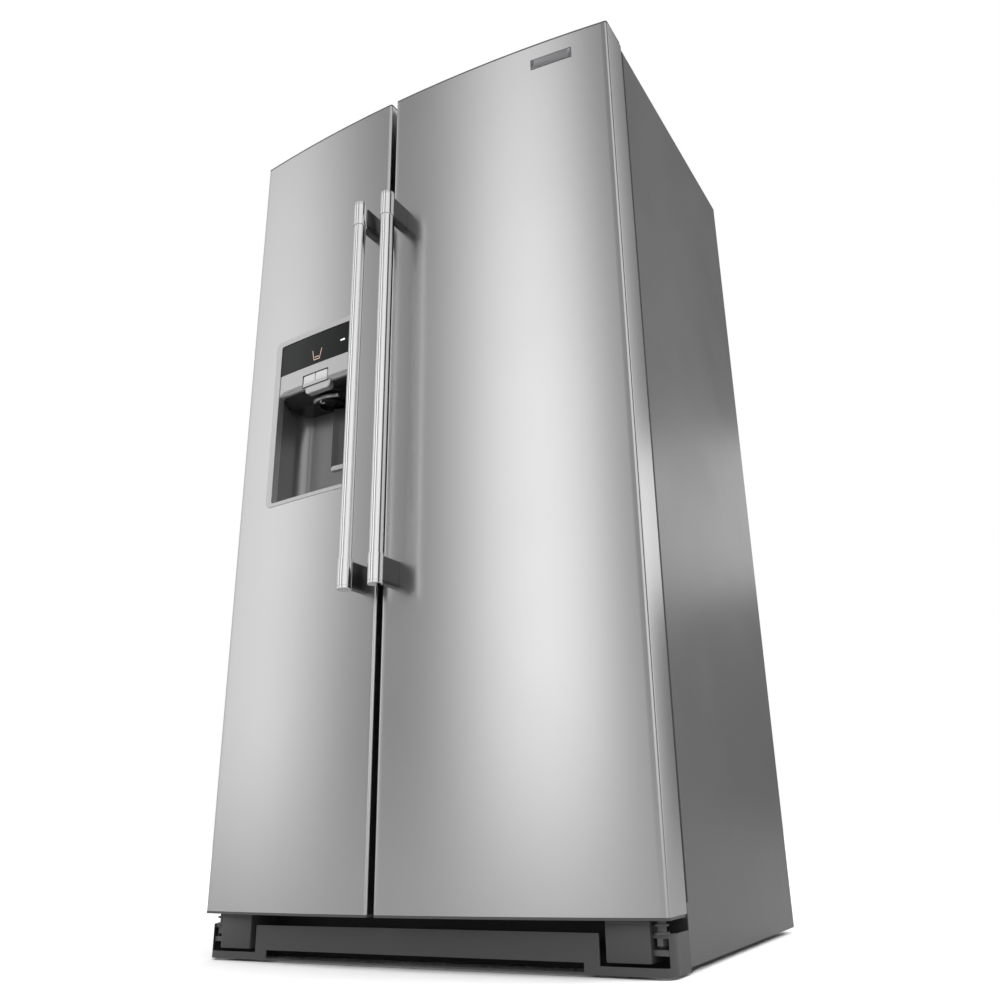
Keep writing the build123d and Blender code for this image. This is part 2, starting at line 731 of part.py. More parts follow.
def fan(radius, hub_r, blades, thick):
    """A fan about +Z at the origin."""
    body = Cylinder(hub_r, thick)
    for i in range(blades):
        blade = Pos(radius / 2 + hub_r / 4, 0, 0) * Rot(28, 0, 0) * Box(radius - hub_r / 2, radius * 0.42, 2)
        body += Rot(0, 0, 360 * i / blades) * blade
    return body - Cylinder(fan_shaft_r + run_fit, thick * 2)


def evaporator_cover():
    """The freezer's back panel with a fan mouth, low inlet slots and the fan's motor behind it."""
    x = inset(freezer_x, 1.0)
    y = (inside_y[1] - cover_in, inside_y[1] - cover_in + 3)
    panel = block(x, y, (step_high + 20, inside_z[1] - 2))
    panel -= rod(62, (freezer_mid, y[0] - 1, fan_z), 5, (0, 1, 0))
    for i in range(6):
        panel -= block((x[0] + 40, x[1] - 40), (y[0] - 1, y[1] + 1), (310 + 16 * i, 316 + 16 * i))
    for side in (-1, 1):
        foot = sorted((freezer_mid + side * 56, freezer_mid + side * 66))
        panel += block(foot, (y[1], y[1] + 44), (fan_z - 6, fan_z + 6))
    bar = (freezer_mid - 66, freezer_mid + 66)
    panel += block(bar, (y[1] + 40, y[1] + 44), (fan_z - 6, fan_z + 6))
    motor = rod(22, (freezer_mid, y[1] + 24, fan_z), 18, (0, 1, 0))
    return panel + motor + rod(fan_shaft_r, (freezer_mid, y[1] + 2, fan_z), 24, (0, 1, 0))


def evaporator_fan():
    y = inside_y[1] - cover_in + 12
    return Pos(freezer_mid, y, fan_z) * Rot(-90, 0, 0) * fan(54, 15, 5, 10)


def evaporator_coil():
    """Rows of tube with fins on them, behind the freezer's back panel."""
    x = inset(freezer_x, 30)
    y = (inside_y[1] - 62, inside_y[1] - 12)
    coil = None
    for i in range(12):
        fin_x = x[0] + 12 + i * (x[1] - x[0] - 24) / 11
        fin = block((fin_x - 0.75, fin_x + 0.75), y, (520, 860))
        coil = fin if coil is None else coil + fin
    for row in range(6):
        z = 550 + 56 * row
        for at in (y[0] + 14, y[1] - 14):
            coil += block(x, (at - 4, at + 4), (z - 4, z + 4))
    for side in (x[0], x[1] - 3):
        coil += block((side, side + 3), (y[0], inside_y[1] - 0.2), (520, 860))
    return coil


def lamp_covers():
    """One lens under the roof of each compartment."""
    lamps = []
    for x in (fridge_x, freezer_x):
        middle = (x[0] + x[1]) / 2
        wide = (middle - 70, middle + 70)
        lamps.append(block(wide, (y_case + 70, y_case + 120), (inside_z[1] - 8, inside_z[1])))
    return lamps


def dairy_lid():
    """The flap over the top bin of the fridge door, on two stub pins, leaning on the bin's edge."""
    x = inset(dike_box(1)[0], dike_t + 0.6)
    reach = y_back + bin_deep - dairy_y
    drop = dairy_pivot_z - dairy_bin_z[1] - 1.5
    lean = degrees(atan2(reach, drop))
    flap = block(inset(x, 6), (-2, 2), (-(reach**2 + drop**2) ** 0.5, 0))
    lid = Pos(0, dairy_y, dairy_pivot_z) * Rot(lean, 0, 0) * flap
    lid += rod(4, (x[0] + 6, dairy_y, dairy_pivot_z), x[1] - x[0] - 12, (1, 0, 0))
    return lid + rod(3, (x[0] - 3, dairy_y, dairy_pivot_z), x[1] - x[0] + 6, (1, 0, 0))


def fridge_door_liner():
    """The fridge door's liner, with the two blind holes that the flap turns in."""
    x = inset(dike_box(1)[0], dike_t + 0.6)
    shape = door_liner(1)
    return shape - rod(3 + run_fit, (x[0] - 4, dairy_y, dairy_pivot_z), x[1] - x[0] + 8, (1, 0, 0))


# --- machine compartment ---
def compressor():
    """A welded pot on a foot plate with four rubber-mounted corners."""
    at = (-190.0, y_rear - 105)
    floor = machine_floor
    pot = Pos(at[0], at[1], floor + 81) * Cylinder(72, 134)
    pot = fillet(pot.edges().filter_by(GeomType.CIRCLE), 22)
    pot += Pos(at[0], at[1], floor + 80) * Cylinder(74, 6)
    pot += block((at[0] - 90, at[0] + 90), (at[1] - 60, at[1] + 60), (floor + 10, floor + 14))
    for i in (-1, 1):
        for j in (-1, 1):
            pot += rod(9, (at[0] + i * 78, at[1] + j * 48, floor), 18)
    return pot + block((at[0] + 60, at[0] + 84), (at[1] - 25, at[1] + 25), (floor + 50, floor + 115))


def condenser_coil():
    """A folded stack of tubes between two end plates, in front of its fan."""
    floor = machine_floor
    x = (130.0, 330.0)
    y = (y_rear - 180, y_rear - 30)
    coil = block((x[0], x[0] + 3), y, (floor + 30, floor + 160))
    coil += block((x[1] - 3, x[1]), y, (floor + 30, floor + 160))
    for row in range(5):
        z = floor + 45 + 25 * row
        for col in range(5):
            at = y[0] + 15 + col * 30
            coil += block(x, (at - 2.5, at + 2.5), (z - 2.5, z + 2.5))
    for at in (x[0], x[1] - 3):
        coil += block((at, at + 3), (y[0] + 10, y[0] + 30), (floor, floor + 32))
        coil += block((at, at + 3), (y[1] - 30, y[1] - 10), (floor, floor + 32))
    return coil


def condenser_fan_frame():
    """A square plate with a round mouth, and the motor on a bar across it."""
    cx, cy, cz = condenser_fan_at
    floor = machine_floor
    plate = block((cx + 10, cx + 14), (cy - 85, cy + 85), (floor, cz + 82))
    plate -= rod(72, (cx, cy, cz), 30, (1, 0, 0))
    bar = block((cx - 46, cx - 42), (cy - 85, cy + 85), (cz - 8, cz + 8))
    for side in (-1, 1):
        arm = sorted((cy + side * 81, cy + side * 85))
        bar += block((cx - 46, cx + 12), arm, (cz - 8, cz + 8))
    motor = rod(24, (cx - 44, cy, cz), 26, (1, 0, 0))
    return plate + bar + motor + rod(fan_shaft_r, (cx - 30, cy, cz), 46, (1, 0, 0))


def condenser_fan():
    cx, cy, cz = condenser_fan_at
    return Pos(cx, cy, cz) * Rot(0, 90, 0) * fan(64, 18, 5, 16)


def drain_pan():
    floor = machine_floor
    return tray((142, 318), (y_rear - 170, y_rear - 40), (floor, floor + 26), 2.5)


def water_valve():
    """The inlet valve: a body on a bracket, its coil and the threaded inlet."""
    x, z = valve_at
    y = y_rear - 70
    body = block((x - 20, x + 20), (y, y + 36), (z - 16, z + 16))
    body += rod(15, (x, y + 18, z + 14), 34)
    body += block((x - 20, x + 20), (y, y + 3), (machine_floor, z + 10))
    body += block((x - 20, x + 20), (y, y + 30), (machine_floor, machine_floor + 3))
    return body + rod(inlet_r, (x, y + 34, z), 70 - 34 - 0.5, (0, 1, 0))


def rear_cover():
    """The cover of the machine compartment, with slots and a hole for the water inlet."""
    x = inset((-half_case, half_case), sheet + 1)
    cover = block(x, (y_rear - cover_t, y_rear), (machine_floor, deck_z + machine_high - 1))
    for i in range(5):
        z = deck_z + 30 + 26 * i
        for low, high in ((-120, 40), (90, 340)):
            cover -= block((low, high), (y_rear - 3, y_rear + 1), (z, z + 10))
    cover -= rod(18, (valve_at[0], y_rear - 3, valve_at[1]), 5, (0, 1, 0))
    return cover - rod(gland_r, (gland_at[0], y_rear - 3, gland_at[1]), 5, (0, 1, 0))


def power_inlet():
    """The bush in the rear cover where the mains lead would leave."""
    bush = rod(gland_r - run_fit, (gland_at[0], y_rear - 14, gland_at[1]), 14, (0, 1, 0))
    bush += rod(13, (gland_at[0], y_rear - 5.5, gland_at[1]), 4, (0, 1, 0))
    return bush - rod(4.2, (gland_at[0], y_rear - 20, gland_at[1]), 30, (0, 1, 0))


def build():
    save("cabinet_shell", cabinet_shell())
    save("cabinet_back", cabinet_back())
    save("cabinet_foam", cabinet_foam())
    save("freezer_liner", freezer_liner())
    save("fridge_liner", fridge_liner())
    save("base_frame", *base_frame())
    save("base_grille", base_grille())
    save("bottom_hinges", *bottom_hinges())
    save("top_hinges", upper_hinge(), mirror_x(upper_hinge()))
    save("hinge_covers", hinge_cover(), mirror_x(hinge_cover()))
    for name, side in (("left", -1), ("right", 1)):
        save(f"rear_roller_{name}", roller(side))
        save(f"front_leg_{name}", leg(side))
    save("compressor", compressor())
    save("condenser_coil", condenser_coil())
    save("condenser_fan_frame", condenser_fan_frame())
    save("condenser_fan", condenser_fan())
    save("drain_pan", drain_pan())
    save("water_valve", water_valve())
    save("rear_cover", rear_cover())
    save("power_inlet", power_inlet())
    save("freezer_shelves", *[wire_shelf(level) for level in freezer_shelves_z])
    save("shelf_frames", *[shelf_frame(level) for level in fridge_shelves])
    save("shelf_panes", *[shelf_pane(level) for level in fridge_shelves])
    save("ice_maker", ice_maker())
    save("ice_bin", ice_bin())
    save("ice_auger", ice_auger())
    save("evaporator_cover", evaporator_cover())
    save("evaporator_coil", evaporator_coil())
    save("evaporator_fan", evaporator_fan())
    save("lamp_covers", *lamp_covers())
    low_back = y_rear - step_deep - 6
    high_back = inside_y[1] - cover_in - 6
    save("crisper_lower", drawer(fridge_x, lower_drawer_z, low_back))
    save("crisper_upper", drawer(fridge_x, upper_drawer_z, high_back))
    save("freezer_basket_lower", drawer(freezer_x, lower_drawer_z, low_back))
    save("freezer_basket_upper", drawer(freezer_x, upper_drawer_z, high_back))
    for name, side in (("freezer", -1), ("fridge", 1)):
        skin = door_skin(side)
        save(f"{name}_door_skin", skin - dispenser_cut() if side < 0 else skin)
        save(f"{name}_door_caps", *door_caps(side))
        save(f"{name}_door_gasket", door_gasket(side))
        save(f"{name}_handle", handle(side))
        save(f"{name}_handle_mounts", handle_mount(side, False), handle_mount(side, True))
    save("freezer_door_foam", freezer_door_foam())
    save("freezer_door_liner", freezer_door_liner())
    save("freezer_door_bins", *door_bins(-1, freezer_bins, 90.0))
    save("fridge_door_foam", door_foam(1))
    save("fridge_door_liner", fridge_door_liner())
    dairy_bin = door_bins(1, dairy_bin_z[:1], dairy_bin_z[1] - dairy_bin_z[0])
    save("fridge_door_bins", *door_bins(1, fridge_bins, 110.0), *dairy_bin)
    save("dairy_lid", dairy_lid())
    save("dispenser_bezel", dispenser_bezel())
    save("dispenser_hood", dispenser_hood())
    save("dispenser_well", dispenser_well())
    save("control_glass", control_glass())
    for name, x in zip(("left", "right"), keys_x()):
        save(f"dispenser_key_{name}", key(x))
    save("dispenser_paddle", paddle())


build()
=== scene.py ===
# %% [markdown]
# A side by side refrigerator with two bowed steel doors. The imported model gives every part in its
# right place, so this lesson adds what a maker adds last: pressed and brushed pieces with soft edges,
# the finishes, the light and the camera.

# %% Load the frame
import bpy
import bmesh
import json
import math
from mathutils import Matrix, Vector

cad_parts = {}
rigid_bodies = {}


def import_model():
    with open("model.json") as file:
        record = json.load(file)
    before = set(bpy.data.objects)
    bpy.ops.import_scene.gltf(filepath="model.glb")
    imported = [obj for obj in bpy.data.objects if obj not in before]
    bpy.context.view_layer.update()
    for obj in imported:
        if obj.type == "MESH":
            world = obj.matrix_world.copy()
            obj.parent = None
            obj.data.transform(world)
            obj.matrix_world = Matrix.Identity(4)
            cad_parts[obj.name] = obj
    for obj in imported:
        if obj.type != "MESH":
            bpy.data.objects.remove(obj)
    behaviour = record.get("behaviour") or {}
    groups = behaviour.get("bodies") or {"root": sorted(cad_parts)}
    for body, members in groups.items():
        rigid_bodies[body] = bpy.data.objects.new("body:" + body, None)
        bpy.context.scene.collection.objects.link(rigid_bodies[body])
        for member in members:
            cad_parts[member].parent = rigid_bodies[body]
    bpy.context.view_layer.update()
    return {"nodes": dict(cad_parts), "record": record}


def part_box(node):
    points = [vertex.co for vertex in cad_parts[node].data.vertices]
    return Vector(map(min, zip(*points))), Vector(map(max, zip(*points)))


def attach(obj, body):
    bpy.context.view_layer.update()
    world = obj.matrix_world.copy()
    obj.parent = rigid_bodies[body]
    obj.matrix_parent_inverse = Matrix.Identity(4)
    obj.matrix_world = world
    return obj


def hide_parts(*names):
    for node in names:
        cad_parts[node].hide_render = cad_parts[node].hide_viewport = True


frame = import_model()
nodes = frame["nodes"]

# %% [markdown]
# The doors are slices of one large cylinder. One short rule says how far the front falls back at each
# distance from the middle, and every piece on the front of a door is shaped with it.

# %% Sizes of the doors
fridge_low, fridge_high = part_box("fridge_door_skin")
freezer_low, freezer_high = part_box("freezer_door_skin")
CROWN_Y = -0.326875
BOW_SAG = 0.031
SHEET = 0.0012
door_back = fridge_high.y
bow_radius = (fridge_high.x ** 2 + BOW_SAG ** 2) / (2 * BOW_SAG)


def sag(x):
    """How far the bowed front falls back at this x."""
    return bow_radius - math.sqrt(bow_radius ** 2 - x ** 2)


print("bow radius", round(bow_radius, 3), "door back at y", round(door_back, 4))

# %% [markdown]
# Every new piece starts as a primitive. It is then shaped in edit mode, by modifiers and by moving its
# points. Operators act on what is selected, so these helpers clear the selection first and then
# choose faces, edges or points by where they lie.

# %% Helpers for modelling
def clear_selection():
    if bpy.context.object and bpy.context.object.mode != "OBJECT":
        bpy.ops.object.mode_set(mode="OBJECT")
    bpy.ops.object.select_all(action="DESELECT")


def choose(piece):
    clear_selection()
    piece.select_set(True)
    bpy.context.view_layer.objects.active = piece


def settle(piece, name):
    """Gives the new primitive its name and puts its place into its mesh."""
    piece.name = name
    piece.data.name = name
    choose(piece)
    bpy.ops.object.transform_apply(location=True, rotation=True, scale=True)
    return piece


def add_block(name, low, high):
    """A cube stretched between two corners."""
    clear_selection()
    middle = [(a + b) / 2 for a, b in zip(low, high)]
    size = [b - a for a, b in zip(low, high)]
    bpy.ops.mesh.primitive_cube_add(size=1, location=middle, scale=size)
    return settle(bpy.context.object, name)


def add_rod(name, radius, start, length, axis="Z", sides=64):
    """A cylinder from a start point along one axis."""
    clear_selection()
    along = {"X": Vector((1, 0, 0)), "Z": Vector((0, 0, 1))}[axis]
    turn = {"X": (0, math.pi / 2, 0), "Z": (0, 0, 0)}[axis]
    bpy.ops.mesh.primitive_cylinder_add(vertices=sides, radius=radius, depth=length,
                                        location=Vector(start) + along * length / 2, rotation=turn)
    return settle(bpy.context.object, name)


def pick(piece, kind, test):
    """Edit mode with only the faces, edges or verts chosen that pass the test."""
    choose(piece)
    bpy.ops.object.mode_set(mode="EDIT")
    bpy.ops.mesh.select_mode(type={"faces": "FACE", "edges": "EDGE", "verts": "VERT"}[kind])
    bpy.ops.mesh.select_all(action="DESELECT")
    shape = bmesh.from_edit_mesh(piece.data)
    chosen = 0
    for item in getattr(shape, kind):
        if test(item):
            item.select_set(True)
            chosen += 1
    shape.select_flush_mode()
    bmesh.update_edit_mesh(piece.data)
    return chosen


def done():
    bpy.ops.object.mode_set(mode="OBJECT")


def middle_of(edge):
    return (edge.verts[0].co + edge.verts[1].co) / 2


def run_of(edge):
    return (edge.verts[1].co - edge.verts[0].co).normalized()


def slice_at(piece, axis, places):
    """Cuts new edge loops across the piece."""
    normal = {"X": (1, 0, 0), "Y": (0, 1, 0), "Z": (0, 0, 1)}[axis]
    choose(piece)
    bpy.ops.object.mode_set(mode="EDIT")
    for place in places:
        bpy.ops.mesh.select_all(action="SELECT")
        bpy.ops.mesh.bisect(plane_co=[place * n for n in normal], plane_no=normal)
    done()


def round_edges(piece, test, radius, segments=6):
    if pick(piece, "edges", test):
        bpy.ops.mesh.bevel(offset=radius, segments=segments, profile=0.5, affect="EDGES")
    done()


def apply_modifiers(piece):
    choose(piece)
    for modifier in list(piece.modifiers):
        bpy.ops.object.modifier_apply(modifier=modifier.name)


def soften(piece, radius, segments=3, angle=30):
    """A small rounding on every sharp edge."""
    bevel = piece.modifiers.new("soft edges", "BEVEL")
    bevel.width = radius
    bevel.segments = segments
    bevel.limit_method = "ANGLE"
    bevel.angle_limit = math.radians(angle)
    apply_modifiers(piece)


def thicken(piece, thickness, outwards=False):
    wall = piece.modifiers.new("wall", "SOLIDIFY")
    wall.thickness = thickness
    wall.offset = 1 if outwards else -1
    wall.use_even_offset = True
    apply_modifiers(piece)


def follow_bow(piece, reach=1.0):
    """Moves the front of a flat piece back onto the bowed door. Points deeper than reach stay."""
    for vertex in piece.data.vertices:
        if vertex.co.y < CROWN_Y + reach:
            vertex.co.y += sag(vertex.co.x)


def join(name, parts):
    clear_selection()
    for part in parts:
        part.select_set(True)
    bpy.context.view_layer.objects.active = parts[0]
    bpy.ops.object.join()
    parts[0].name = name
    parts[0].data.name = name
    return parts[0]


def mount(piece, body, material, replaced=(), angle=35):
    """Shades the piece, gives it its finish and lets it ride on its body."""
    choose(piece)
    bpy.ops.object.shade_smooth_by_angle(angle=math.radians(angle))
    piece.data.materials.clear()
    piece.data.materials.append(material)
    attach(piece, body)
    if replaced:
        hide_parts(*replaced)
    print(piece.name, "rides on", body, "with", len(piece.data.polygons), "faces")


def steps(low, high, count):
    return [low + (high - low) * i / count for i in range(1, count)]


print("helpers ready")

# %% [markdown]
# Each finish is a Principled shader fed by two shared groups. The first is grain: noise that makes
# long lines where it is stretched, as a brushing wheel does, and a fine orange peel where it isn't, as
# on paint and moulded plastic. The second is soft smudges that change the gloss a little. They are
# node groups, so that each finish only sets its own numbers.

# %% Shared effects
def new_group(name, inputs, outputs):
    group = bpy.data.node_groups.new(name, "ShaderNodeTree")
    for label, kind, value in inputs:
        group.interface.new_socket(label, in_out="INPUT", socket_type=kind).default_value = value
    for label, kind in outputs:
        group.interface.new_socket(label, in_out="OUTPUT", socket_type=kind)
    start, end = group.nodes.new("NodeGroupInput"), group.nodes.new("NodeGroupOutput")
    start.location, end.location = (-700, 0), (500, 0)
    return group, start, end


def grain_group():
    """Noise stretched along the surface, as a mask and as a bump."""
    group, start, end = new_group(
        "grain lines",
        [("Stretch", "NodeSocketVector", (8, 8, 900)), ("Strength", "NodeSocketFloat", 0.1)],
        [("Mask", "NodeSocketFloat"), ("Normal", "NodeSocketVector")])
    place = group.nodes.new("ShaderNodeTexCoord")
    scale = group.nodes.new("ShaderNodeMapping")
    noise = group.nodes.new("ShaderNodeTexNoise")
    bump = group.nodes.new("ShaderNodeBump")
    noise.inputs["Scale"].default_value = 1.0
    noise.inputs["Detail"].default_value = 4.0
    noise.inputs["Roughness"].default_value = 0.65
    bump.inputs["Distance"].default_value = 0.0004
    link = group.links.new
    link(place.outputs["Object"], scale.inputs["Vector"])
    link(start.outputs["Stretch"], scale.inputs["Scale"])
    link(scale.outputs["Vector"], noise.inputs["Vector"])
    link(noise.outputs["Fac"], bump.inputs["Height"])
    link(start.outputs["Strength"], bump.inputs["Strength"])
    link(noise.outputs["Fac"], end.inputs["Mask"])
    link(bump.outputs["Normal"], end.inputs["Normal"])
    return group


def smudge_group():
    """Soft wide patches, mapped between two values."""
    group, start, end = new_group(
        "soft smudges",
        [("Scale", "NodeSocketFloat", 3.0), ("Low", "NodeSocketFloat", 0.3),
         ("High", "NodeSocketFloat", 0.4)],
        [("Mask", "NodeSocketFloat")])
    place = group.nodes.new("ShaderNodeTexCoord")
    noise = group.nodes.new("ShaderNodeTexNoise")
    limits = group.nodes.new("ShaderNodeMapRange")
    noise.inputs["Detail"].default_value = 5.0
    limits.inputs["From Min"].default_value = 0.35
    limits.inputs["From Max"].default_value = 0.65
    link = group.links.new
    link(place.outputs["Object"], noise.inputs["Vector"])
    link(start.outputs["Scale"], noise.inputs["Scale"])
    link(noise.outputs["Fac"], limits.inputs["Value"])
    link(start.outputs["Low"], limits.inputs["To Min"])
    link(start.outputs["High"], limits.inputs["To Max"])
    link(limits.outputs["Result"], end.inputs["Mask"])
    return group


grain_lines, soft_smudges = grain_group(), smudge_group()
print("effects:", grain_lines.name, "and", soft_smudges.name)

# %% [markdown]
# A finish mixes two close tones of its colour by the grain mask, takes its roughness from the smudges
# and its bump from the grain. The brushed doors also have a stretched highlight, which the shader
# makes from a tangent that runs round the appliance.

# %% One recipe for every finish
def shade(tone, factor):
    return (tone[0] * factor, tone[1] * factor, tone[2] * factor, 1)


def make_finish(name, tone, rough, metallic=0.0, stretch=(60, 60, 60), bump=0.1, contrast=0.06,
                smudge=0.04, brushed=0.0, clear=0.0, coat=0.0, smudge_scale=3.0, specular=0.5):
    material = bpy.data.materials.new(name)
    material.use_nodes = True
    tree = material.node_tree
    shader = tree.nodes["Principled BSDF"]
    grain = tree.nodes.new("ShaderNodeGroup")
    grain.node_tree = grain_lines
    grain.inputs["Stretch"].default_value = stretch
    grain.inputs["Strength"].default_value = bump
    patches = tree.nodes.new("ShaderNodeGroup")
    patches.node_tree = soft_smudges
    patches.inputs["Scale"].default_value = smudge_scale
    patches.inputs["Low"].default_value = max(rough - smudge, 0.02)
    patches.inputs["High"].default_value = min(rough + smudge, 1.0)
    mix = tree.nodes.new("ShaderNodeMix")
    mix.data_type = "RGBA"
    mix.inputs["A"].default_value = shade(tone, 1 - contrast)
    mix.inputs["B"].default_value = shade(tone, 1 + contrast)
    link = tree.links.new
    link(grain.outputs["Mask"], mix.inputs["Factor"])
    link(mix.outputs["Result"], shader.inputs["Base Color"])
    link(patches.outputs["Mask"], shader.inputs["Roughness"])
    link(grain.outputs["Normal"], shader.inputs["Normal"])
    shader.inputs["Metallic"].default_value = metallic
    shader.inputs["Transmission Weight"].default_value = clear
    shader.inputs["Coat Weight"].default_value = coat
    shader.inputs["Specular IOR Level"].default_value = specular
    if brushed:
        round_z = tree.nodes.new("ShaderNodeTangent")
        round_z.direction_type = "RADIAL"
        round_z.axis = "Z"
        link(round_z.outputs["Tangent"], shader.inputs["Tangent"])
        shader.inputs["Anisotropic"].default_value = brushed
        shader.inputs["Anisotropic Rotation"].default_value = 0.25
    return material


finish = {
    "stainless": make_finish("stainless", (0.66, 0.66, 0.66), 0.24, 1.0, (4, 4, 1600), 0.012, 0.03,
                             0.008, 0.6),
    "handle_steel": make_finish("handle_steel", (0.86, 0.86, 0.86), 0.13, 1.0, (700, 700, 5), 0.05, 0.05,
                                0.02),
    "case_paint": make_finish("case_paint", (0.25, 0.25, 0.25), 0.33, 0.85, (420, 420, 420), 0.08, 0.04),
    "zinc_plate": make_finish("zinc_plate", (0.5, 0.51, 0.5), 0.42, 0.9, (70, 70, 70), 0.1, 0.18, 0.08),
    "hinge_paint": make_finish("hinge_paint", (0.13, 0.13, 0.13), 0.36, 0.2, (300, 300, 300), 0.12, 0.08),
    "black_paint": make_finish("black_paint", (0.02, 0.02, 0.02), 0.34, 0.0, (260, 260, 260), 0.15, 0.2),
    "grille_plastic": make_finish("grille_plastic", (0.085, 0.085, 0.085), 0.4, 0.0, (700, 700, 700), 0.16,
                                  0.08),
    "cap_plastic": make_finish("cap_plastic", (0.09, 0.09, 0.09), 0.45, 0.0, (600, 600, 600), 0.14, 0.08),
    "liner_white": make_finish("liner_white", (0.82, 0.83, 0.83), 0.22, 0.0, (90, 90, 90), 0.05, 0.02),
    "seal_rubber": make_finish("seal_rubber", (0.028, 0.028, 0.028), 0.62, 0.0, (500, 500, 500), 0.1, 0.15),
    "foam_core": make_finish("foam_core", (0.72, 0.6, 0.32), 0.85, 0.0, (180, 180, 180), 0.5, 0.12),
    "clear_plastic": make_finish("clear_plastic", (0.9, 0.94, 0.95), 0.06, 0.0, (40, 40, 40), 0.02, 0.02,
                                 0.03, clear=0.92),
    "shelf_trim": make_finish("shelf_trim", (0.76, 0.77, 0.78), 0.28, 0.0, (200, 200, 200), 0.06, 0.03),
    "shelf_glass": make_finish("shelf_glass", (0.86, 0.95, 0.92), 0.03, 0.0, (20, 20, 20), 0.01, 0.02,
                               0.02, clear=0.95),
    "shelf_wire": make_finish("shelf_wire", (0.8, 0.81, 0.81), 0.25, 0.0, (300, 300, 300), 0.06, 0.03),
    "silver_plastic": make_finish("silver_plastic", (0.64, 0.64, 0.64), 0.34, 0.75, (900, 900, 900), 0.06,
                                  0.05, 0.03),
    "black_glass": make_finish("black_glass", (0.008, 0.009, 0.009), 0.07, 0.0, (30, 30, 30), 0.01, 0.1,
                               0.03, specular=0.22),
    "well_plastic": make_finish("well_plastic", (0.34, 0.34, 0.34), 0.27, 0.75, (500, 500, 500), 0.06, 0.05,
                                coat=0.3),
    "key_plastic": make_finish("key_plastic", (0.72, 0.72, 0.72), 0.3, 0.0, (500, 500, 500), 0.06, 0.03),
    "paddle_plastic": make_finish("paddle_plastic", (0.06, 0.06, 0.06), 0.32, 0.0, (500, 500, 500), 0.06,
                                  0.08),
    "fin_metal": make_finish("fin_metal", (0.75, 0.76, 0.77), 0.36, 1.0, (90, 90, 500), 0.1, 0.06),
    "fan_plastic": make_finish("fan_plastic", (0.05, 0.05, 0.05), 0.5, 0.0, (500, 500, 500), 0.1, 0.1),
    "roller_plastic": make_finish("roller_plastic", (0.05, 0.05, 0.05), 0.55, 0.0, (400, 400, 400), 0.15,
                                  0.15),
    "leg_steel": make_finish("leg_steel", (0.6, 0.6, 0.6), 0.3, 1.0, (300, 300, 300), 0.08, 0.06),
    "rear_board": make_finish("rear_board", (0.1, 0.1, 0.1), 0.75, 0.0, (160, 160, 160), 0.3, 0.2),
    "lamp_plastic": make_finish("lamp_plastic", (0.9, 0.9, 0.88), 0.35, 0.0, (200, 200, 200), 0.08, 0.03),
    "white_plastic": make_finish("white_plastic", (0.72, 0.72, 0.7), 0.45, 0.0, (300, 300, 300), 0.1, 0.05),
}
for part in frame["record"]["subparts"]:
    mesh = nodes[part["node"]].data
    mesh.materials.clear()
    mesh.materials.append(finish[part["material_slot"]])
print(len(finish), "finishes on", len(nodes), "nodes")

# %% [markdown]
# A door skin is one sheet of steel, rolled to the bow and folded back at both sides. A flat block is
# cut into narrow strips, its open sides are deleted, and then the front is moved onto the bow. The
# window for the dispenser is cut before the sheet gets its thickness.

# %% Door skins
bezel_low, bezel_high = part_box("dispenser_bezel")
WINDOW_EDGE = 0.006
HEM = 0.010
FOLD_ROUND = 0.005


def door_skin(name, low, high, window=None):
    skin = add_block(name, (low.x, CROWN_Y, low.z), (high.x, door_back, high.z))
    slice_at(skin, "X", steps(low.x, high.x, 36))
    if window:
        slice_at(skin, "X", window[0])
        slice_at(skin, "Z", window[1])
    edge_z = (low.z + 0.0001, high.z - 0.0001)
    pick(skin, "faces", lambda f: f.calc_center_median().y > door_back - 0.001
         or not edge_z[0] < f.calc_center_median().z < edge_z[1])
    bpy.ops.mesh.delete(type="FACE")
    done()
    if window:
        (x0, x1), (z0, z1) = window
        pick(skin, "faces", lambda f: f.normal.y < -0.9 and x0 < f.calc_center_median().x < x1
             and z0 < f.calc_center_median().z < z1)
        bpy.ops.mesh.delete(type="FACE")
        done()
    follow_bow(skin, 0.001)
    for side, way in ((low.x, 1), (high.x, -1)):
        pick(skin, "edges", lambda e: abs(middle_of(e).x - side) < 1e-4
             and abs(middle_of(e).y - door_back) < 1e-4 and abs(run_of(e).z) > 0.9)
        bpy.ops.mesh.extrude_region_move(TRANSFORM_OT_translate={"value": (way * HEM, 0, 0)})
        done()
    round_edges(skin, lambda e: abs(run_of(e).z) > 0.9 and middle_of(e).y < door_back - 0.01
                and min(abs(middle_of(e).x - low.x), abs(middle_of(e).x - high.x)) < 1e-4, FOLD_ROUND, 6)
    thicken(skin, SHEET)
    return skin


window = ((bezel_low.x + WINDOW_EDGE, bezel_high.x - WINDOW_EDGE),
          (bezel_low.z + WINDOW_EDGE, bezel_high.z - WINDOW_EDGE))
mount(door_skin("left_door_sheet", freezer_low, freezer_high, window), "freezer_door",
      finish["stainless"], ["freezer_door_skin"])
mount(door_skin("right_door_sheet", fridge_low, fridge_high), "fridge_door",
      finish["stainless"], ["fridge_door_skin"])

# %% [markdown]
# A handle is a polished tube held by two ends. Each end is a sleeve with a thin ring where it meets the
# tube, a fine groove near its tip and a broken edge, with a post behind it that goes to the door.

# %% Handles
TUBE_RADIUS = 0.0125
SLEEVE_RADIUS = 0.0139
SLEEVE_LONG = 0.056
SLEEVE_LAP = 0.002
TURNED_SIDES = 96
GROOVE = (0.0055, 0.0067)
GROOVE_DEPTH = 0.0008
RING = (0.0004, 0.0026)
RING_HEIGHT = 0.0003
POST_HALF = 0.0105
POST_SPAN = (0.005, 0.055)
HANDLE_OUT = 0.058
HANDLES = (("freezer", "freezer_door", -0.0895), ("fridge", "fridge_door", -0.0195))


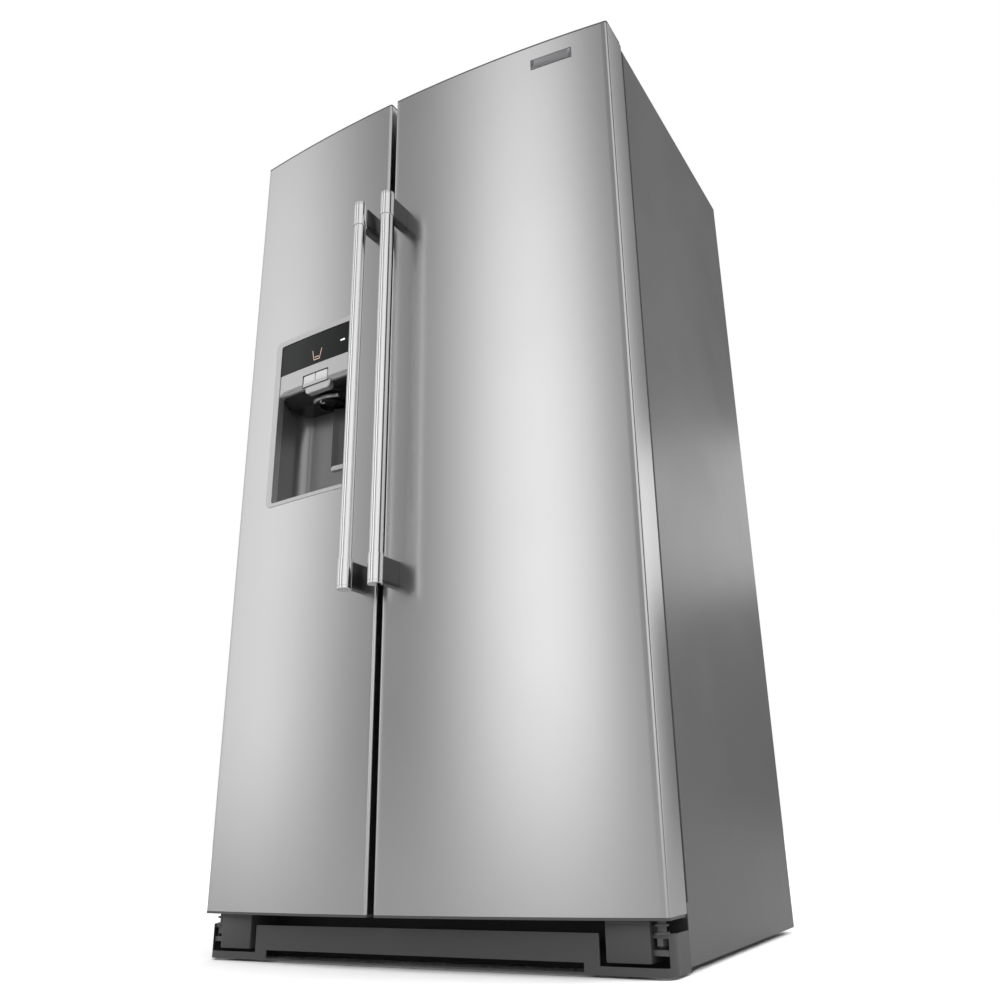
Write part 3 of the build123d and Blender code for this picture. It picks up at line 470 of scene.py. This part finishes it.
def band(piece, z0, z1, amount):
    """Pushes a ring of side faces in or out."""
    slice_at(piece, "Z", (z0, z1))
    pick(piece, "faces", lambda f: abs(f.normal.z) < 0.1 and z0 < f.calc_center_median().z < z1)
    bpy.ops.mesh.extrude_region_shrink_fatten(TRANSFORM_OT_shrink_fatten={"value": amount})
    done()


def handle_end(name, x, tip_z, inward):
    y = CROWN_Y + sag(x) - HANDLE_OUT
    inner_z = tip_z + inward * SLEEVE_LONG
    sleeve = add_rod(name + "_sleeve", SLEEVE_RADIUS, (x, y, min(tip_z, inner_z)), SLEEVE_LONG,
                     sides=TURNED_SIDES)
    groove = sorted((tip_z + inward * GROOVE[0], tip_z + inward * GROOVE[1]))
    band(sleeve, groove[0], groove[1], -GROOVE_DEPTH)
    ring = sorted((inner_z - inward * RING[0], inner_z - inward * RING[1]))
    band(sleeve, ring[0], ring[1], RING_HEIGHT)
    round_edges(sleeve, lambda e: abs(run_of(e).z) < 0.1 and abs(middle_of(e).z - tip_z) < 1e-5, 0.0012, 3)
    post_z = sorted((tip_z + inward * POST_SPAN[0], tip_z + inward * POST_SPAN[1]))
    post = add_block(name + "_post", (x - POST_HALF, y, post_z[0]), (x + POST_HALF, CROWN_Y, post_z[1]))
    for vertex in post.data.vertices:
        if vertex.co.y > y + 0.01:
            vertex.co.y += sag(vertex.co.x) - 0.0002
    round_edges(post, lambda e: abs(run_of(e).y) > 0.9, 0.005, 5)
    return sleeve, post


post_finish = make_finish("post_steel", (0.1, 0.1, 0.1), 0.3, 1.0, (900, 900, 30), 0.04, 0.05, 0.04)
for side, body, x in HANDLES:
    node_low, node_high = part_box(side + "_handle_mounts")
    y = CROWN_Y + sag(x) - HANDLE_OUT
    tube = add_rod(side + "_bar", TUBE_RADIUS, (x, y, node_low.z + SLEEVE_LONG - SLEEVE_LAP),
                   node_high.z - node_low.z - 2 * SLEEVE_LONG + 2 * SLEEVE_LAP, sides=TURNED_SIDES)
    slice_at(tube, "Z", steps(node_low.z + SLEEVE_LONG, node_high.z - SLEEVE_LONG, 12))
    mount(tube, body, finish["handle_steel"], [side + "_handle"])
    low_sleeve, low_post = handle_end(side + "_low", x, node_low.z, 1)
    top_sleeve, top_post = handle_end(side + "_top", x, node_high.z, -1)
    sleeves = join(side + "_handle_sleeves", [low_sleeve, top_sleeve])
    mount(sleeves, body, finish["handle_steel"], [side + "_handle_mounts"])
    mount(join(side + "_handle_posts", [low_post, top_post]), body, post_finish)

# %% [markdown]
# The dispenser's housing has a silver front with a soft lower edge and a pocket for the two keys. The
# pocket is pushed in from the front face, four thin dark rims outline it, and the keys are separate
# caps, because each of them moves on its own.

# %% Dispenser housing and keys
hood_low, hood_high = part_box("dispenser_hood")
left_key, right_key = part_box("dispenser_key_left"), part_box("dispenser_key_right")
glass_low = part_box("control_glass")[0]
KEY_GAP = 0.0008
KEY_RIM = 0.0012
KEY_POCKET = 0.012
HOOD_EDGE_Z = 1.1035
HOOD_ROUND = 0.010
FRONT_SET = 0.0003
FRONT_DEEP = 0.016
key_x = (left_key[0].x - KEY_GAP, right_key[1].x + KEY_GAP)
key_z = (left_key[0].z - KEY_GAP, left_key[1].z + KEY_GAP)
front = add_block("hood_front", (hood_low.x, CROWN_Y + FRONT_SET, HOOD_EDGE_Z),
                  (hood_high.x, CROWN_Y + FRONT_DEEP, glass_low.z - 0.0004))
slice_at(front, "X", steps(hood_low.x, hood_high.x, 16) + list(key_x))
slice_at(front, "Z", key_z)
pick(front, "faces", lambda f: f.normal.y < -0.9 and key_x[0] < f.calc_center_median().x < key_x[1]
     and key_z[0] < f.calc_center_median().z < key_z[1])
bpy.ops.mesh.extrude_region_move(TRANSFORM_OT_translate={"value": (0, KEY_POCKET, 0)})
done()
round_edges(front, lambda e: abs(run_of(e).x) > 0.9 and middle_of(e).z < HOOD_EDGE_Z + 1e-4
            and middle_of(e).y < CROWN_Y + 0.001, HOOD_ROUND, 8)
follow_bow(front)
mount(front, "freezer_door", finish["silver_plastic"], ["dispenser_hood"])
rims = []
for x0, x1, z0, z1 in ((key_x[0] - KEY_RIM, key_x[0], key_z[0] - KEY_RIM, key_z[1] + KEY_RIM),
                       (key_x[1], key_x[1] + KEY_RIM, key_z[0] - KEY_RIM, key_z[1] + KEY_RIM),
                       (key_x[0], key_x[1], key_z[1], key_z[1] + KEY_RIM),
                       (key_x[0], key_x[1], key_z[0] - KEY_RIM, key_z[0])):
    rim = add_block("rim", (x0, CROWN_Y + 0.0001, z0), (x1, CROWN_Y + 0.0030, z1))
    slice_at(rim, "X", steps(x0, x1, 6))
    follow_bow(rim)
    rims.append(rim)
mount(join("key_surround", rims), "freezer_door", finish["seal_rubber"])
for name, (low, high) in (("left", left_key), ("right", right_key)):
    key = add_block(name + "_key_cap", (low.x, CROWN_Y + 0.0008, low.z), (high.x, CROWN_Y + 0.013, high.z))
    slice_at(key, "X", steps(low.x, high.x, 5))
    outer = low.x if name == "left" else high.x
    round_edges(key, lambda e: abs(run_of(e).y) > 0.9 and abs(middle_of(e).x - outer) < 1e-4, 0.004, 5)
    follow_bow(key)
    soften(key, 0.0007, 2, 50)
    mount(key, "key_" + name, finish["key_plastic"], ["dispenser_key_" + name])

# %% [markdown]
# The underside is one black moulding: a block whose front edge is lifted and whose lower edges are
# well rounded, so that it hangs like a shallow bowl under the silver front. Two small ears below it
# hold the axle of the paddle.

# %% Underside
UNDER_Z = 1.0822
UNDER_LIFT = 0.020
UNDER_ROUND = 0.012
EAR_WIDE = 0.006
EAR_GAP = 0.0004
EAR_Z = (1.068, 1.084)
under = add_block("hood_underside", (hood_low.x + 0.0008, CROWN_Y + 0.010, UNDER_Z),
                  (hood_high.x - 0.0008, hood_high.y - 0.001, glass_low.z))
slice_at(under, "Y", (CROWN_Y + 0.048,))
slice_at(under, "X", steps(hood_low.x, hood_high.x, 12))
pick(under, "verts", lambda v: v.co.z < UNDER_Z + 1e-4 and v.co.y < CROWN_Y + 0.02)
bpy.ops.transform.translate(value=(0, 0, UNDER_LIFT))
done()
round_edges(under, lambda e: abs(run_of(e).y) > 0.5 and middle_of(e).z < 1.11
            and min(abs(middle_of(e).x - hood_low.x), abs(middle_of(e).x - hood_high.x)) < 0.002,
            UNDER_ROUND, 6)
follow_bow(under, 0.02)
under_finish = make_finish("hood_black", (0.010, 0.010, 0.010), 0.24, 0.0, (400, 400, 400), 0.08, 0.1,
                           0.05, specular=0.25)
ears = []
paddle_low, paddle_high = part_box("dispenser_paddle")
pivot = (paddle_low.y + 0.012, paddle_high.z - 0.005)
for name, x in (("left", paddle_low.x - EAR_GAP), ("right", paddle_high.x + EAR_GAP - EAR_WIDE)):
    ears.append(add_block("ear_" + name, (x, pivot[0] - 0.008, EAR_Z[0]),
                          (x + EAR_WIDE, pivot[0] + 0.006, EAR_Z[1])))
mount(join("hood_underside", [under] + ears), "freezer_door", under_finish)

# %% [markdown]
# Ice falls through a round spout, and a short curved guide stands before it. The water comes from a
# small pale nozzle. Both are rods whose lower face is inset and pushed up, which leaves a hollow end.
# A silver lip under the keys hangs over the edge of the housing.

# %% Chute, nozzle and lip
SPOUT_Z = 1.0745
CHUTE_RADIUS = 0.030
CHUTE_AT = (-0.246, CROWN_Y + 0.066, SPOUT_Z)
GUIDE_X = (-0.276, -0.208)
GUIDE_MID = -0.242
GUIDE_HALF = 0.034
GUIDE_BEND = 0.008
NOZZLE_RADIUS = 0.0052
NOZZLE_AT = (-0.2527, -0.2853, SPOUT_Z)
LIP_X = (-0.277, -0.206)
LIP_Z = (1.0885, 1.1062)
LIP_ROUND = 0.009
chute = add_rod("ice_chute", CHUTE_RADIUS, CHUTE_AT, 0.010, sides=64)
pick(chute, "faces", lambda f: f.normal.z < -0.9)
bpy.ops.mesh.inset(thickness=0.004)
bpy.ops.mesh.extrude_region_move(TRANSFORM_OT_translate={"value": (0, 0, 0.009)})
bpy.ops.mesh.inset(thickness=0.006)
done()
soften(chute, 0.0008, 2)
mount(chute, "freezer_door", under_finish)
guide = add_block("chute_guide", (GUIDE_X[0], CROWN_Y + 0.030, 1.0775),
                  (GUIDE_X[1], CROWN_Y + 0.036, 1.0865))
slice_at(guide, "X", steps(GUIDE_X[0], GUIDE_X[1], 8))
for vertex in guide.data.vertices:
    vertex.co.y += GUIDE_BEND * (abs(vertex.co.x - GUIDE_MID) / GUIDE_HALF) ** 2
soften(guide, 0.0015, 3)
mount(guide, "freezer_door", finish["well_plastic"])
nozzle = add_rod("water_nozzle", NOZZLE_RADIUS, NOZZLE_AT, 0.012, sides=32)
pick(nozzle, "faces", lambda f: f.normal.z < -0.9)
bpy.ops.mesh.inset(thickness=0.0016)
bpy.ops.mesh.extrude_region_move(TRANSFORM_OT_translate={"value": (0, 0, 0.006)})
done()
soften(nozzle, 0.0005, 2)
mount(nozzle, "freezer_door", finish["white_plastic"])
lip = add_block("key_lip", (LIP_X[0], CROWN_Y + 0.0015, LIP_Z[0]),
                (LIP_X[1], CROWN_Y + FRONT_DEEP, LIP_Z[1]))
slice_at(lip, "X", steps(LIP_X[0], LIP_X[1], 8))
round_edges(lip, lambda e: abs(run_of(e).y) > 0.9 and middle_of(e).z < LIP_Z[0] + 0.0015
            and min(abs(middle_of(e).x - x) for x in LIP_X) < 1e-4, LIP_ROUND, 6)
follow_bow(lip)
soften(lip, 0.002, 4, 50)
mount(lip, "freezer_door", finish["silver_plastic"])

# %% [markdown]
# The recess behind the frame is a moulded tub with two round corners. A tray with a slotted top lies
# on its floor to catch drops, and the paddle hangs in front of its back wall.

# %% Recess, drip tray and paddle
well_low, well_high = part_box("dispenser_well")
WELL_WALL = 0.0025
WELL_ROUND = 0.030
TRAY_RIM = 0.006
SLOT_BARS = 22
BAR_HALF = 0.0016
PLATE_BEND = 0.008
PLATE_HALF = 0.031
AXLE_RADIUS = 0.003
room_low = well_low + Vector((WELL_WALL, 0, WELL_WALL))
room_high = well_high - Vector((WELL_WALL, WELL_WALL, WELL_WALL))
tub = add_block("recess_tub", room_low, room_high)
slice_at(tub, "Z", (1.0,))
pick(tub, "faces", lambda f: f.normal.y < -0.9)
bpy.ops.mesh.delete(type="FACE")
done()
round_edges(tub, lambda e: abs(run_of(e).z) > 0.9 and middle_of(e).y > room_high.y - 1e-4, WELL_ROUND, 12)
thicken(tub, WELL_WALL, outwards=True)
mount(tub, "freezer_door", finish["well_plastic"], ["dispenser_well"])

TRAY_TOP = room_low.z + 0.007
tray_x = (room_low.x + 0.012, room_high.x - 0.012)
tray_y = (room_low.y + 0.004, room_high.y - 0.014)
tray = add_block("drip_tray", (tray_x[0], tray_y[0], room_low.z + 0.0003), (tray_x[1], tray_y[1], TRAY_TOP))
pick(tray, "faces", lambda f: f.normal.z > 0.9)
bpy.ops.mesh.inset(thickness=TRAY_RIM)
bpy.ops.mesh.extrude_region_move(TRANSFORM_OT_translate={"value": (0, 0, -0.005)})
done()
bars = [tray]
for i, x in enumerate(steps(tray_x[0], tray_x[1], SLOT_BARS)):
    bars.append(add_block(f"bar_{i}", (x - BAR_HALF, tray_y[0] + 0.005, TRAY_TOP - 0.003),
                          (x + BAR_HALF, tray_y[1] - 0.005, TRAY_TOP)))
tray = join("drip_tray", bars)
soften(tray, 0.0005, 2, 50)
mount(tray, "freezer_door", under_finish)

plate = add_block("paddle_plate", (paddle_low.x + 0.006, paddle_high.y - 0.009, paddle_low.z + 0.009),
                  (paddle_high.x - 0.006, paddle_high.y - 0.005, paddle_high.z - 0.006))
slice_at(plate, "X", steps(paddle_low.x + 0.006, paddle_high.x - 0.006, 8))
plate_mid = (paddle_low.x + paddle_high.x) / 2
for vertex in plate.data.vertices:
    vertex.co.y += PLATE_BEND / 2 - PLATE_BEND * (abs(vertex.co.x - plate_mid) / PLATE_HALF) ** 2
soften(plate, 0.001, 3)
axle = add_rod("paddle_axle", AXLE_RADIUS, (paddle_low.x, pivot[0], pivot[1]),
               paddle_high.x - paddle_low.x, "X", 32)
mount(join("paddle_plate", [plate, axle]), "paddle", finish["paddle_plastic"],
      ["dispenser_paddle"])
foot = add_block("paddle_foot", (paddle_low.x + 0.005, paddle_low.y, paddle_low.z),
                 (paddle_high.x - 0.005, paddle_high.y, paddle_low.z + 0.012))
soften(foot, 0.002, 4)
mount(foot, "paddle", finish["silver_plastic"])

# %% [markdown]
# The marks on the black glass are thin raised lines that glow a little: an open cup that says where to
# hold a glass, and a short bar for a lamp. They hold no letters.

# %% Marks on the glass
def glow(name, tone, strength):
    material = make_finish(name, tone, 0.5)
    shader = material.node_tree.nodes["Principled BSDF"]
    shader.inputs["Emission Color"].default_value = (*tone, 1)
    shader.inputs["Emission Strength"].default_value = strength
    return material


cup_glow, bar_glow = glow("cup_glow", (0.85, 0.62, 0.5), 0.25), glow("bar_glow", (0.9, 0.9, 0.9), 0.6)


def mark(name, low, high, lean=0.0):
    line = add_block(name, (low[0], CROWN_Y - 0.0001, low[1]), (high[0], CROWN_Y + 0.0006, high[1]))
    for vertex in line.data.vertices:
        vertex.co.x += lean * (vertex.co.z - low[1])
    follow_bow(line)
    return line


cup_x, cup_z = -0.247, 1.163
cup = join("cup_mark", [mark("cup_left", (cup_x - 0.0085, cup_z), (cup_x - 0.0073, cup_z + 0.024), -0.22),
                        mark("cup_right", (cup_x + 0.0073, cup_z), (cup_x + 0.0085, cup_z + 0.024), 0.22),
                        mark("cup_base", (cup_x - 0.0085, cup_z), (cup_x + 0.0085, cup_z + 0.0014)),
                        mark("cup_fill", (cup_x - 0.006, cup_z + 0.006), (cup_x + 0.006, cup_z + 0.0074))])
mount(cup, "freezer_door", cup_glow)
mount(mark("lamp_mark", (-0.180, 1.186), (-0.168, 1.1895)), "freezer_door", bar_glow)

# %% [markdown]
# High on the right door sits a thin metal plate. Its face is inset and pushed back a little, which
# leaves a fine raised border, and the field inside it stays blank.

# %% Blank plate
plate_low, plate_high = (0.288, 1.692), (0.378, 1.716)
badge = add_block("blank_plate", (plate_low[0], CROWN_Y - 0.0016, plate_low[1]),
                  (plate_high[0], CROWN_Y + 0.0004, plate_high[1]))
slice_at(badge, "X", steps(plate_low[0], plate_high[0], 10))
pick(badge, "faces", lambda f: f.normal.y < -0.9)
bpy.ops.mesh.inset(thickness=0.0022)
bpy.ops.mesh.extrude_region_move(TRANSFORM_OT_translate={"value": (0, 0.0005, 0)})
done()
follow_bow(badge)
soften(badge, 0.0003, 2, 50)
plate_finish = make_finish("plate_metal", (0.3, 0.3, 0.31), 0.22, 1.0, (6, 6, 1800), 0.04, 0.05)
mount(badge, "fridge_door", plate_finish)

# %% [markdown]
# The pressed brackets under the doors wear moulded covers that reach up to the doors. On each side of the
# case, where the doors close, a black strip is painted shade: it stands for the shadow deep in the gap.
# A black sheet behind the grille is painted shade too, for the dark hollow under the appliance. The
# covers of the top hinges are rounded caps that stand in from the sides of the case. All of them are
# blocks with rounded edges. One loop makes what stands on the left and on the right, and the sheet of
# painted shade, which runs right across, comes last.

# %% Covers, caps and painted shade
COVER_SKIN = 0.0006
BRACKET_X = (0.350, 0.420)
COVER_Y = (-0.2875, -0.2200)
COVER_Z = (0.0205, 0.0772)
COVER_GROOVE = (0.0712, 0.0720)
CAP_X = (0.3862, 0.4476)
CAP_Y = (-0.2818, -0.1250)
CAP_Z = (1.7570, 1.7660)
CAP_STEP_Y = -0.2159
CAP_DROP = 0.0120
GAP_SHADE_X = (0.4460, 0.4543)
GAP_SHADE_Y = (-0.2184, -0.2110)
GAP_SHADE_Z = (0.0965, 1.7445)
TOE_SHADE_HALF = 0.4532
TOE_SHADE_Y = (-0.2164, -0.2112)
TOE_SHADE_Z = (0.0020, 0.0808)


def side_block(name, hand, xs, ys, zs):
    """A block on the left (hand -1) or the right (hand 1) of the appliance."""
    x = sorted((hand * xs[0], hand * xs[1]))
    return add_block(name, (x[0], ys[0], zs[0]), (x[1], ys[1], zs[1]))


def corner_cover(side, hand):
    cover_x = (BRACKET_X[0] - COVER_SKIN, BRACKET_X[1] + COVER_SKIN)
    cover = side_block(side + "_corner_cover", hand, cover_x, COVER_Y, COVER_Z)
    round_edges(cover, lambda e: abs(run_of(e).z) > 0.9 and middle_of(e).y < COVER_Y[0] + 0.001, 0.003, 5)
    band(cover, COVER_GROOVE[0], COVER_GROOVE[1], -0.0005)
    soften(cover, 0.0006, 2)
    mount(cover, "cabinet", finish["grille_plastic"])


def hinge_cap(side, hand):
    """Its rear part is deeper, because it comes down behind the door."""
    cap = side_block(side + "_hinge_cap", hand, CAP_X, CAP_Y, CAP_Z)
    slice_at(cap, "Y", (CAP_STEP_Y,))
    pick(cap, "faces", lambda f: f.normal.z < -0.9 and f.calc_center_median().y > CAP_STEP_Y)
    bpy.ops.mesh.extrude_region_move(TRANSFORM_OT_translate={"value": (0, 0, -CAP_DROP)})
    done()
    round_edges(cap, lambda e: abs(run_of(e).z) > 0.9 and abs(middle_of(e).y - CAP_STEP_Y) > 0.001, 0.006, 6)
    soften(cap, 0.0022, 4, 60)
    mount(cap, "cabinet", finish["cap_plastic"],
          ["hinge_covers"] if side == "left" else ())


# Painted shade: this black strip stands for the shadow deep in the gap where each door closes against the
# case.
def gap_shade_strip(side, hand):
    strip = side_block(side + "_gap_shade_strip", hand, GAP_SHADE_X, GAP_SHADE_Y, GAP_SHADE_Z)
    soften(strip, 0.0004, 2)
    mount(strip, "cabinet", finish["seal_rubber"])


for side, hand in (("left", -1), ("right", 1)):
    corner_cover(side, hand)
    hinge_cap(side, hand)
    gap_shade_strip(side, hand)
# Painted shade: this black sheet behind the grille stands for the dark hollow under the appliance and hides
# the floor seen through it.
toe_shade = add_block("toe_shade_sheet", (-TOE_SHADE_HALF, TOE_SHADE_Y[0], TOE_SHADE_Z[0]),
                   (TOE_SHADE_HALF, TOE_SHADE_Y[1], TOE_SHADE_Z[1]))
soften(toe_shade, 0.0005, 2)
mount(toe_shade, "cabinet", finish["seal_rubber"])

# %% [markdown]
# A bowed steel front shows large soft panels of light as upright bands. The surroundings here are one
# smooth ring of light that is brighter and darker round the appliance, with a white backdrop for the
# camera. Each step of the ring is an angle and a strength, and the steps were found by trial. The two
# ramps hold them divided by RAMP_TOP, and their product is scaled up again at the end.

# %% Surroundings
RAMP_TOP = 2.0
world = bpy.data.worlds.new("studio")
bpy.context.scene.world = world
world.use_nodes = True
tree = world.node_tree
tree.nodes.clear()
link = tree.links.new


def world_node(kind, **settings):
    node = tree.nodes.new(kind)
    for name, value in settings.items():
        setattr(node, name, value)
    return node


def ramp(points):
    node = world_node("ShaderNodeValToRGB")
    node.color_ramp.interpolation = "EASE"
    stops = node.color_ramp.elements
    while len(stops) > 1:
        stops.remove(stops[-1])
    for i, (place, value) in enumerate(points):
        stop = stops[0] if i == 0 else stops.new(place)
        stop.position = place
        stop.color = (value / RAMP_TOP, value / RAMP_TOP, value / RAMP_TOP, 1)
    return node


ROUND_LIGHT = [(-180, 0.16), (-168, 0.20), (-158, 0.26), (-146, 1.1), (-118, 1.15), (-109, 0.08),
               (-82, 0.08), (-74, 1.1), (-30, 1.2), (-8, 0.95), (-1, 0.32), (4, 0.34), (8, 0.58), (12, 1.45),
               (17, 1.85), (22, 1.65), (26, 1.2), (30, 0.7), (34, 0.40), (39, 0.35), (44, 0.53), (49, 1.02),
               (55, 1.5), (62, 1.2), (75, 0.8), (110, 0.6), (150, 0.35), (180, 0.16)]
UP_LIGHT = [(-90, 0.6), (-2, 0.97), (12, 0.98), (24, 1.0), (36, 0.92), (44, 0.7), (60, 0.6), (90, 0.9)]
place = world_node("ShaderNodeTexCoord")
parts = world_node("ShaderNodeSeparateXYZ")
flip_x = world_node("ShaderNodeMath", operation="MULTIPLY")
flip_y = world_node("ShaderNodeMath", operation="MULTIPLY")
turn = world_node("ShaderNodeMath", operation="ARCTAN2")
rise = world_node("ShaderNodeMath", operation="ARCSINE")
turn_share = world_node("ShaderNodeMapRange")
rise_share = world_node("ShaderNodeMapRange")
round_ramp = ramp([((a + 180) / 360, v) for a, v in ROUND_LIGHT])
up_ramp = ramp([((a + 90) / 180, v) for a, v in UP_LIGHT])
product = world_node("ShaderNodeMath", operation="MULTIPLY")
ring = world_node("ShaderNodeBackground")
backdrop = world_node("ShaderNodeBackground")
ray = world_node("ShaderNodeLightPath")
choice = world_node("ShaderNodeMixShader")
output = world_node("ShaderNodeOutputWorld")
link(place.outputs["Generated"], parts.inputs["Vector"])
link(parts.outputs["X"], flip_x.inputs[0])
link(parts.outputs["Y"], flip_y.inputs[0])
flip_x.inputs[1].default_value = flip_y.inputs[1].default_value = -1
link(flip_x.outputs[0], turn.inputs[0])
link(flip_y.outputs[0], turn.inputs[1])
link(parts.outputs["Z"], rise.inputs[0])
for share, source, limit in ((turn_share, turn, math.pi), (rise_share, rise, math.pi / 2)):
    link(source.outputs[0], share.inputs["Value"])
    share.inputs["From Min"].default_value = -limit
    share.inputs["From Max"].default_value = limit
link(turn_share.outputs["Result"], round_ramp.inputs["Fac"])
link(rise_share.outputs["Result"], up_ramp.inputs["Fac"])
link(round_ramp.outputs["Color"], product.inputs[0])
link(up_ramp.outputs["Color"], product.inputs[1])
scaled = world_node("ShaderNodeMath", operation="MULTIPLY")
link(product.outputs[0], scaled.inputs[0])
scaled.inputs[1].default_value = RAMP_TOP ** 2
link(scaled.outputs[0], ring.inputs["Strength"])
backdrop.inputs["Color"].default_value = (1, 1, 1, 1)
backdrop.inputs["Strength"].default_value = 1.0
link(ray.outputs["Is Camera Ray"], choice.inputs["Fac"])
link(ring.outputs[0], choice.inputs[1])
link(backdrop.outputs[0], choice.inputs[2])
link(choice.outputs[0], output.inputs["Surface"])
print("ring of light with", len(ROUND_LIGHT), "steps round and", len(UP_LIGHT), "up")

# %% [markdown]
# The floor is a wide pale sheet. A very soft light from straight above makes it as white as the
# backdrop, so that only the shadow at the foot of the appliance is left. For every ray that doesn't
# come straight from the camera the floor is a darker grey. No real floor does that: it is done
# because the light thrown back by a white one would wash out the foot of the doors. Of the lamps only
# panel_glow is mirrored, and it gives the side of the case its brighter middle.

# %% Floor and lamps
FLOOR_SIZE = 60
FLOOR_DROP = 0.0004
FLOOR_BOUNCE = 0.30
clear_selection()
bpy.ops.mesh.primitive_plane_add(size=FLOOR_SIZE, location=(0, 0, -FLOOR_DROP))
floor = settle(bpy.context.object, "floor")
floor_finish = make_finish("floor_sheet", (0.9, 0.9, 0.9), 0.9, 0.0, (3, 3, 3), 0.0, 0.01)
floor_tree = floor_finish.node_tree
pale = floor_tree.nodes["Principled BSDF"]
dim = floor_tree.nodes.new("ShaderNodeBsdfDiffuse")
dim.inputs["Color"].default_value = (FLOOR_BOUNCE, FLOOR_BOUNCE, FLOOR_BOUNCE, 1)
seen = floor_tree.nodes.new("ShaderNodeLightPath")
either = floor_tree.nodes.new("ShaderNodeMixShader")
floor_tree.links.new(seen.outputs["Is Camera Ray"], either.inputs["Fac"])
floor_tree.links.new(dim.outputs[0], either.inputs[1])
floor_tree.links.new(pale.outputs[0], either.inputs[2])
floor_tree.links.new(either.outputs[0], floor_tree.nodes["Material Output"].inputs["Surface"])
floor.data.materials.append(floor_finish)


def lamp(name, place, aim, size, power):
    data = bpy.data.lights.new(name, "AREA")
    data.shape = "RECTANGLE"
    data.size, data.size_y = size
    data.energy = power
    light = bpy.data.objects.new(name, data)
    bpy.context.scene.collection.objects.link(light)
    light.location = place
    light.rotation_euler = (Vector(aim) - Vector(place)).to_track_quat("-Z", "Y").to_euler()
    return light


lamp("side_lamp", (1.40, 0.10, 0.85), (0.45, 0.0, 0.8), (0.5, 0.5), 12)
panel_glow = lamp("panel_glow", (1.62, 3.90, 2.10), (0.45, 0.10, 0.85), (2.4, 1.0), 5.5)
lamp("front_lamp", (-1.6, -3.2, 2.6), (0, 0, 1.0), (2.0, 2.0), 30)
sky_data = bpy.data.lights.new("overhead", "SUN")
sky_data.energy = 3.2
sky_data.angle = math.radians(70)
overhead = bpy.data.objects.new("overhead", sky_data)
bpy.context.scene.collection.objects.link(overhead)
for light in bpy.context.scene.objects:
    if light.type == "LIGHT":
        light.visible_glossy = light is panel_glow

# %% [markdown]
# The camera stands low, in front of the appliance and to its right, and looks up at it. Its small
# shift only moves the appliance within the frame.

# %% Camera
camera_data = bpy.data.cameras.new("view")
camera_data.lens = 33.49
camera_data.sensor_width = 36.0
camera_data.shift_x = -0.0337
camera_data.shift_y = -0.0079
camera_data.clip_start = 0.01
camera = bpy.data.objects.new("view", camera_data)
bpy.context.scene.collection.objects.link(camera)
camera.location = (0.97972, -1.66288, 0.19947)
camera.rotation_euler = [math.radians(a) for a in (110.173, 1.5424, 28.449)]
bpy.context.scene.camera = camera
bpy.context.scene.view_settings.view_transform = "Standard"
print("camera at", [round(c, 3) for c in camera.location])
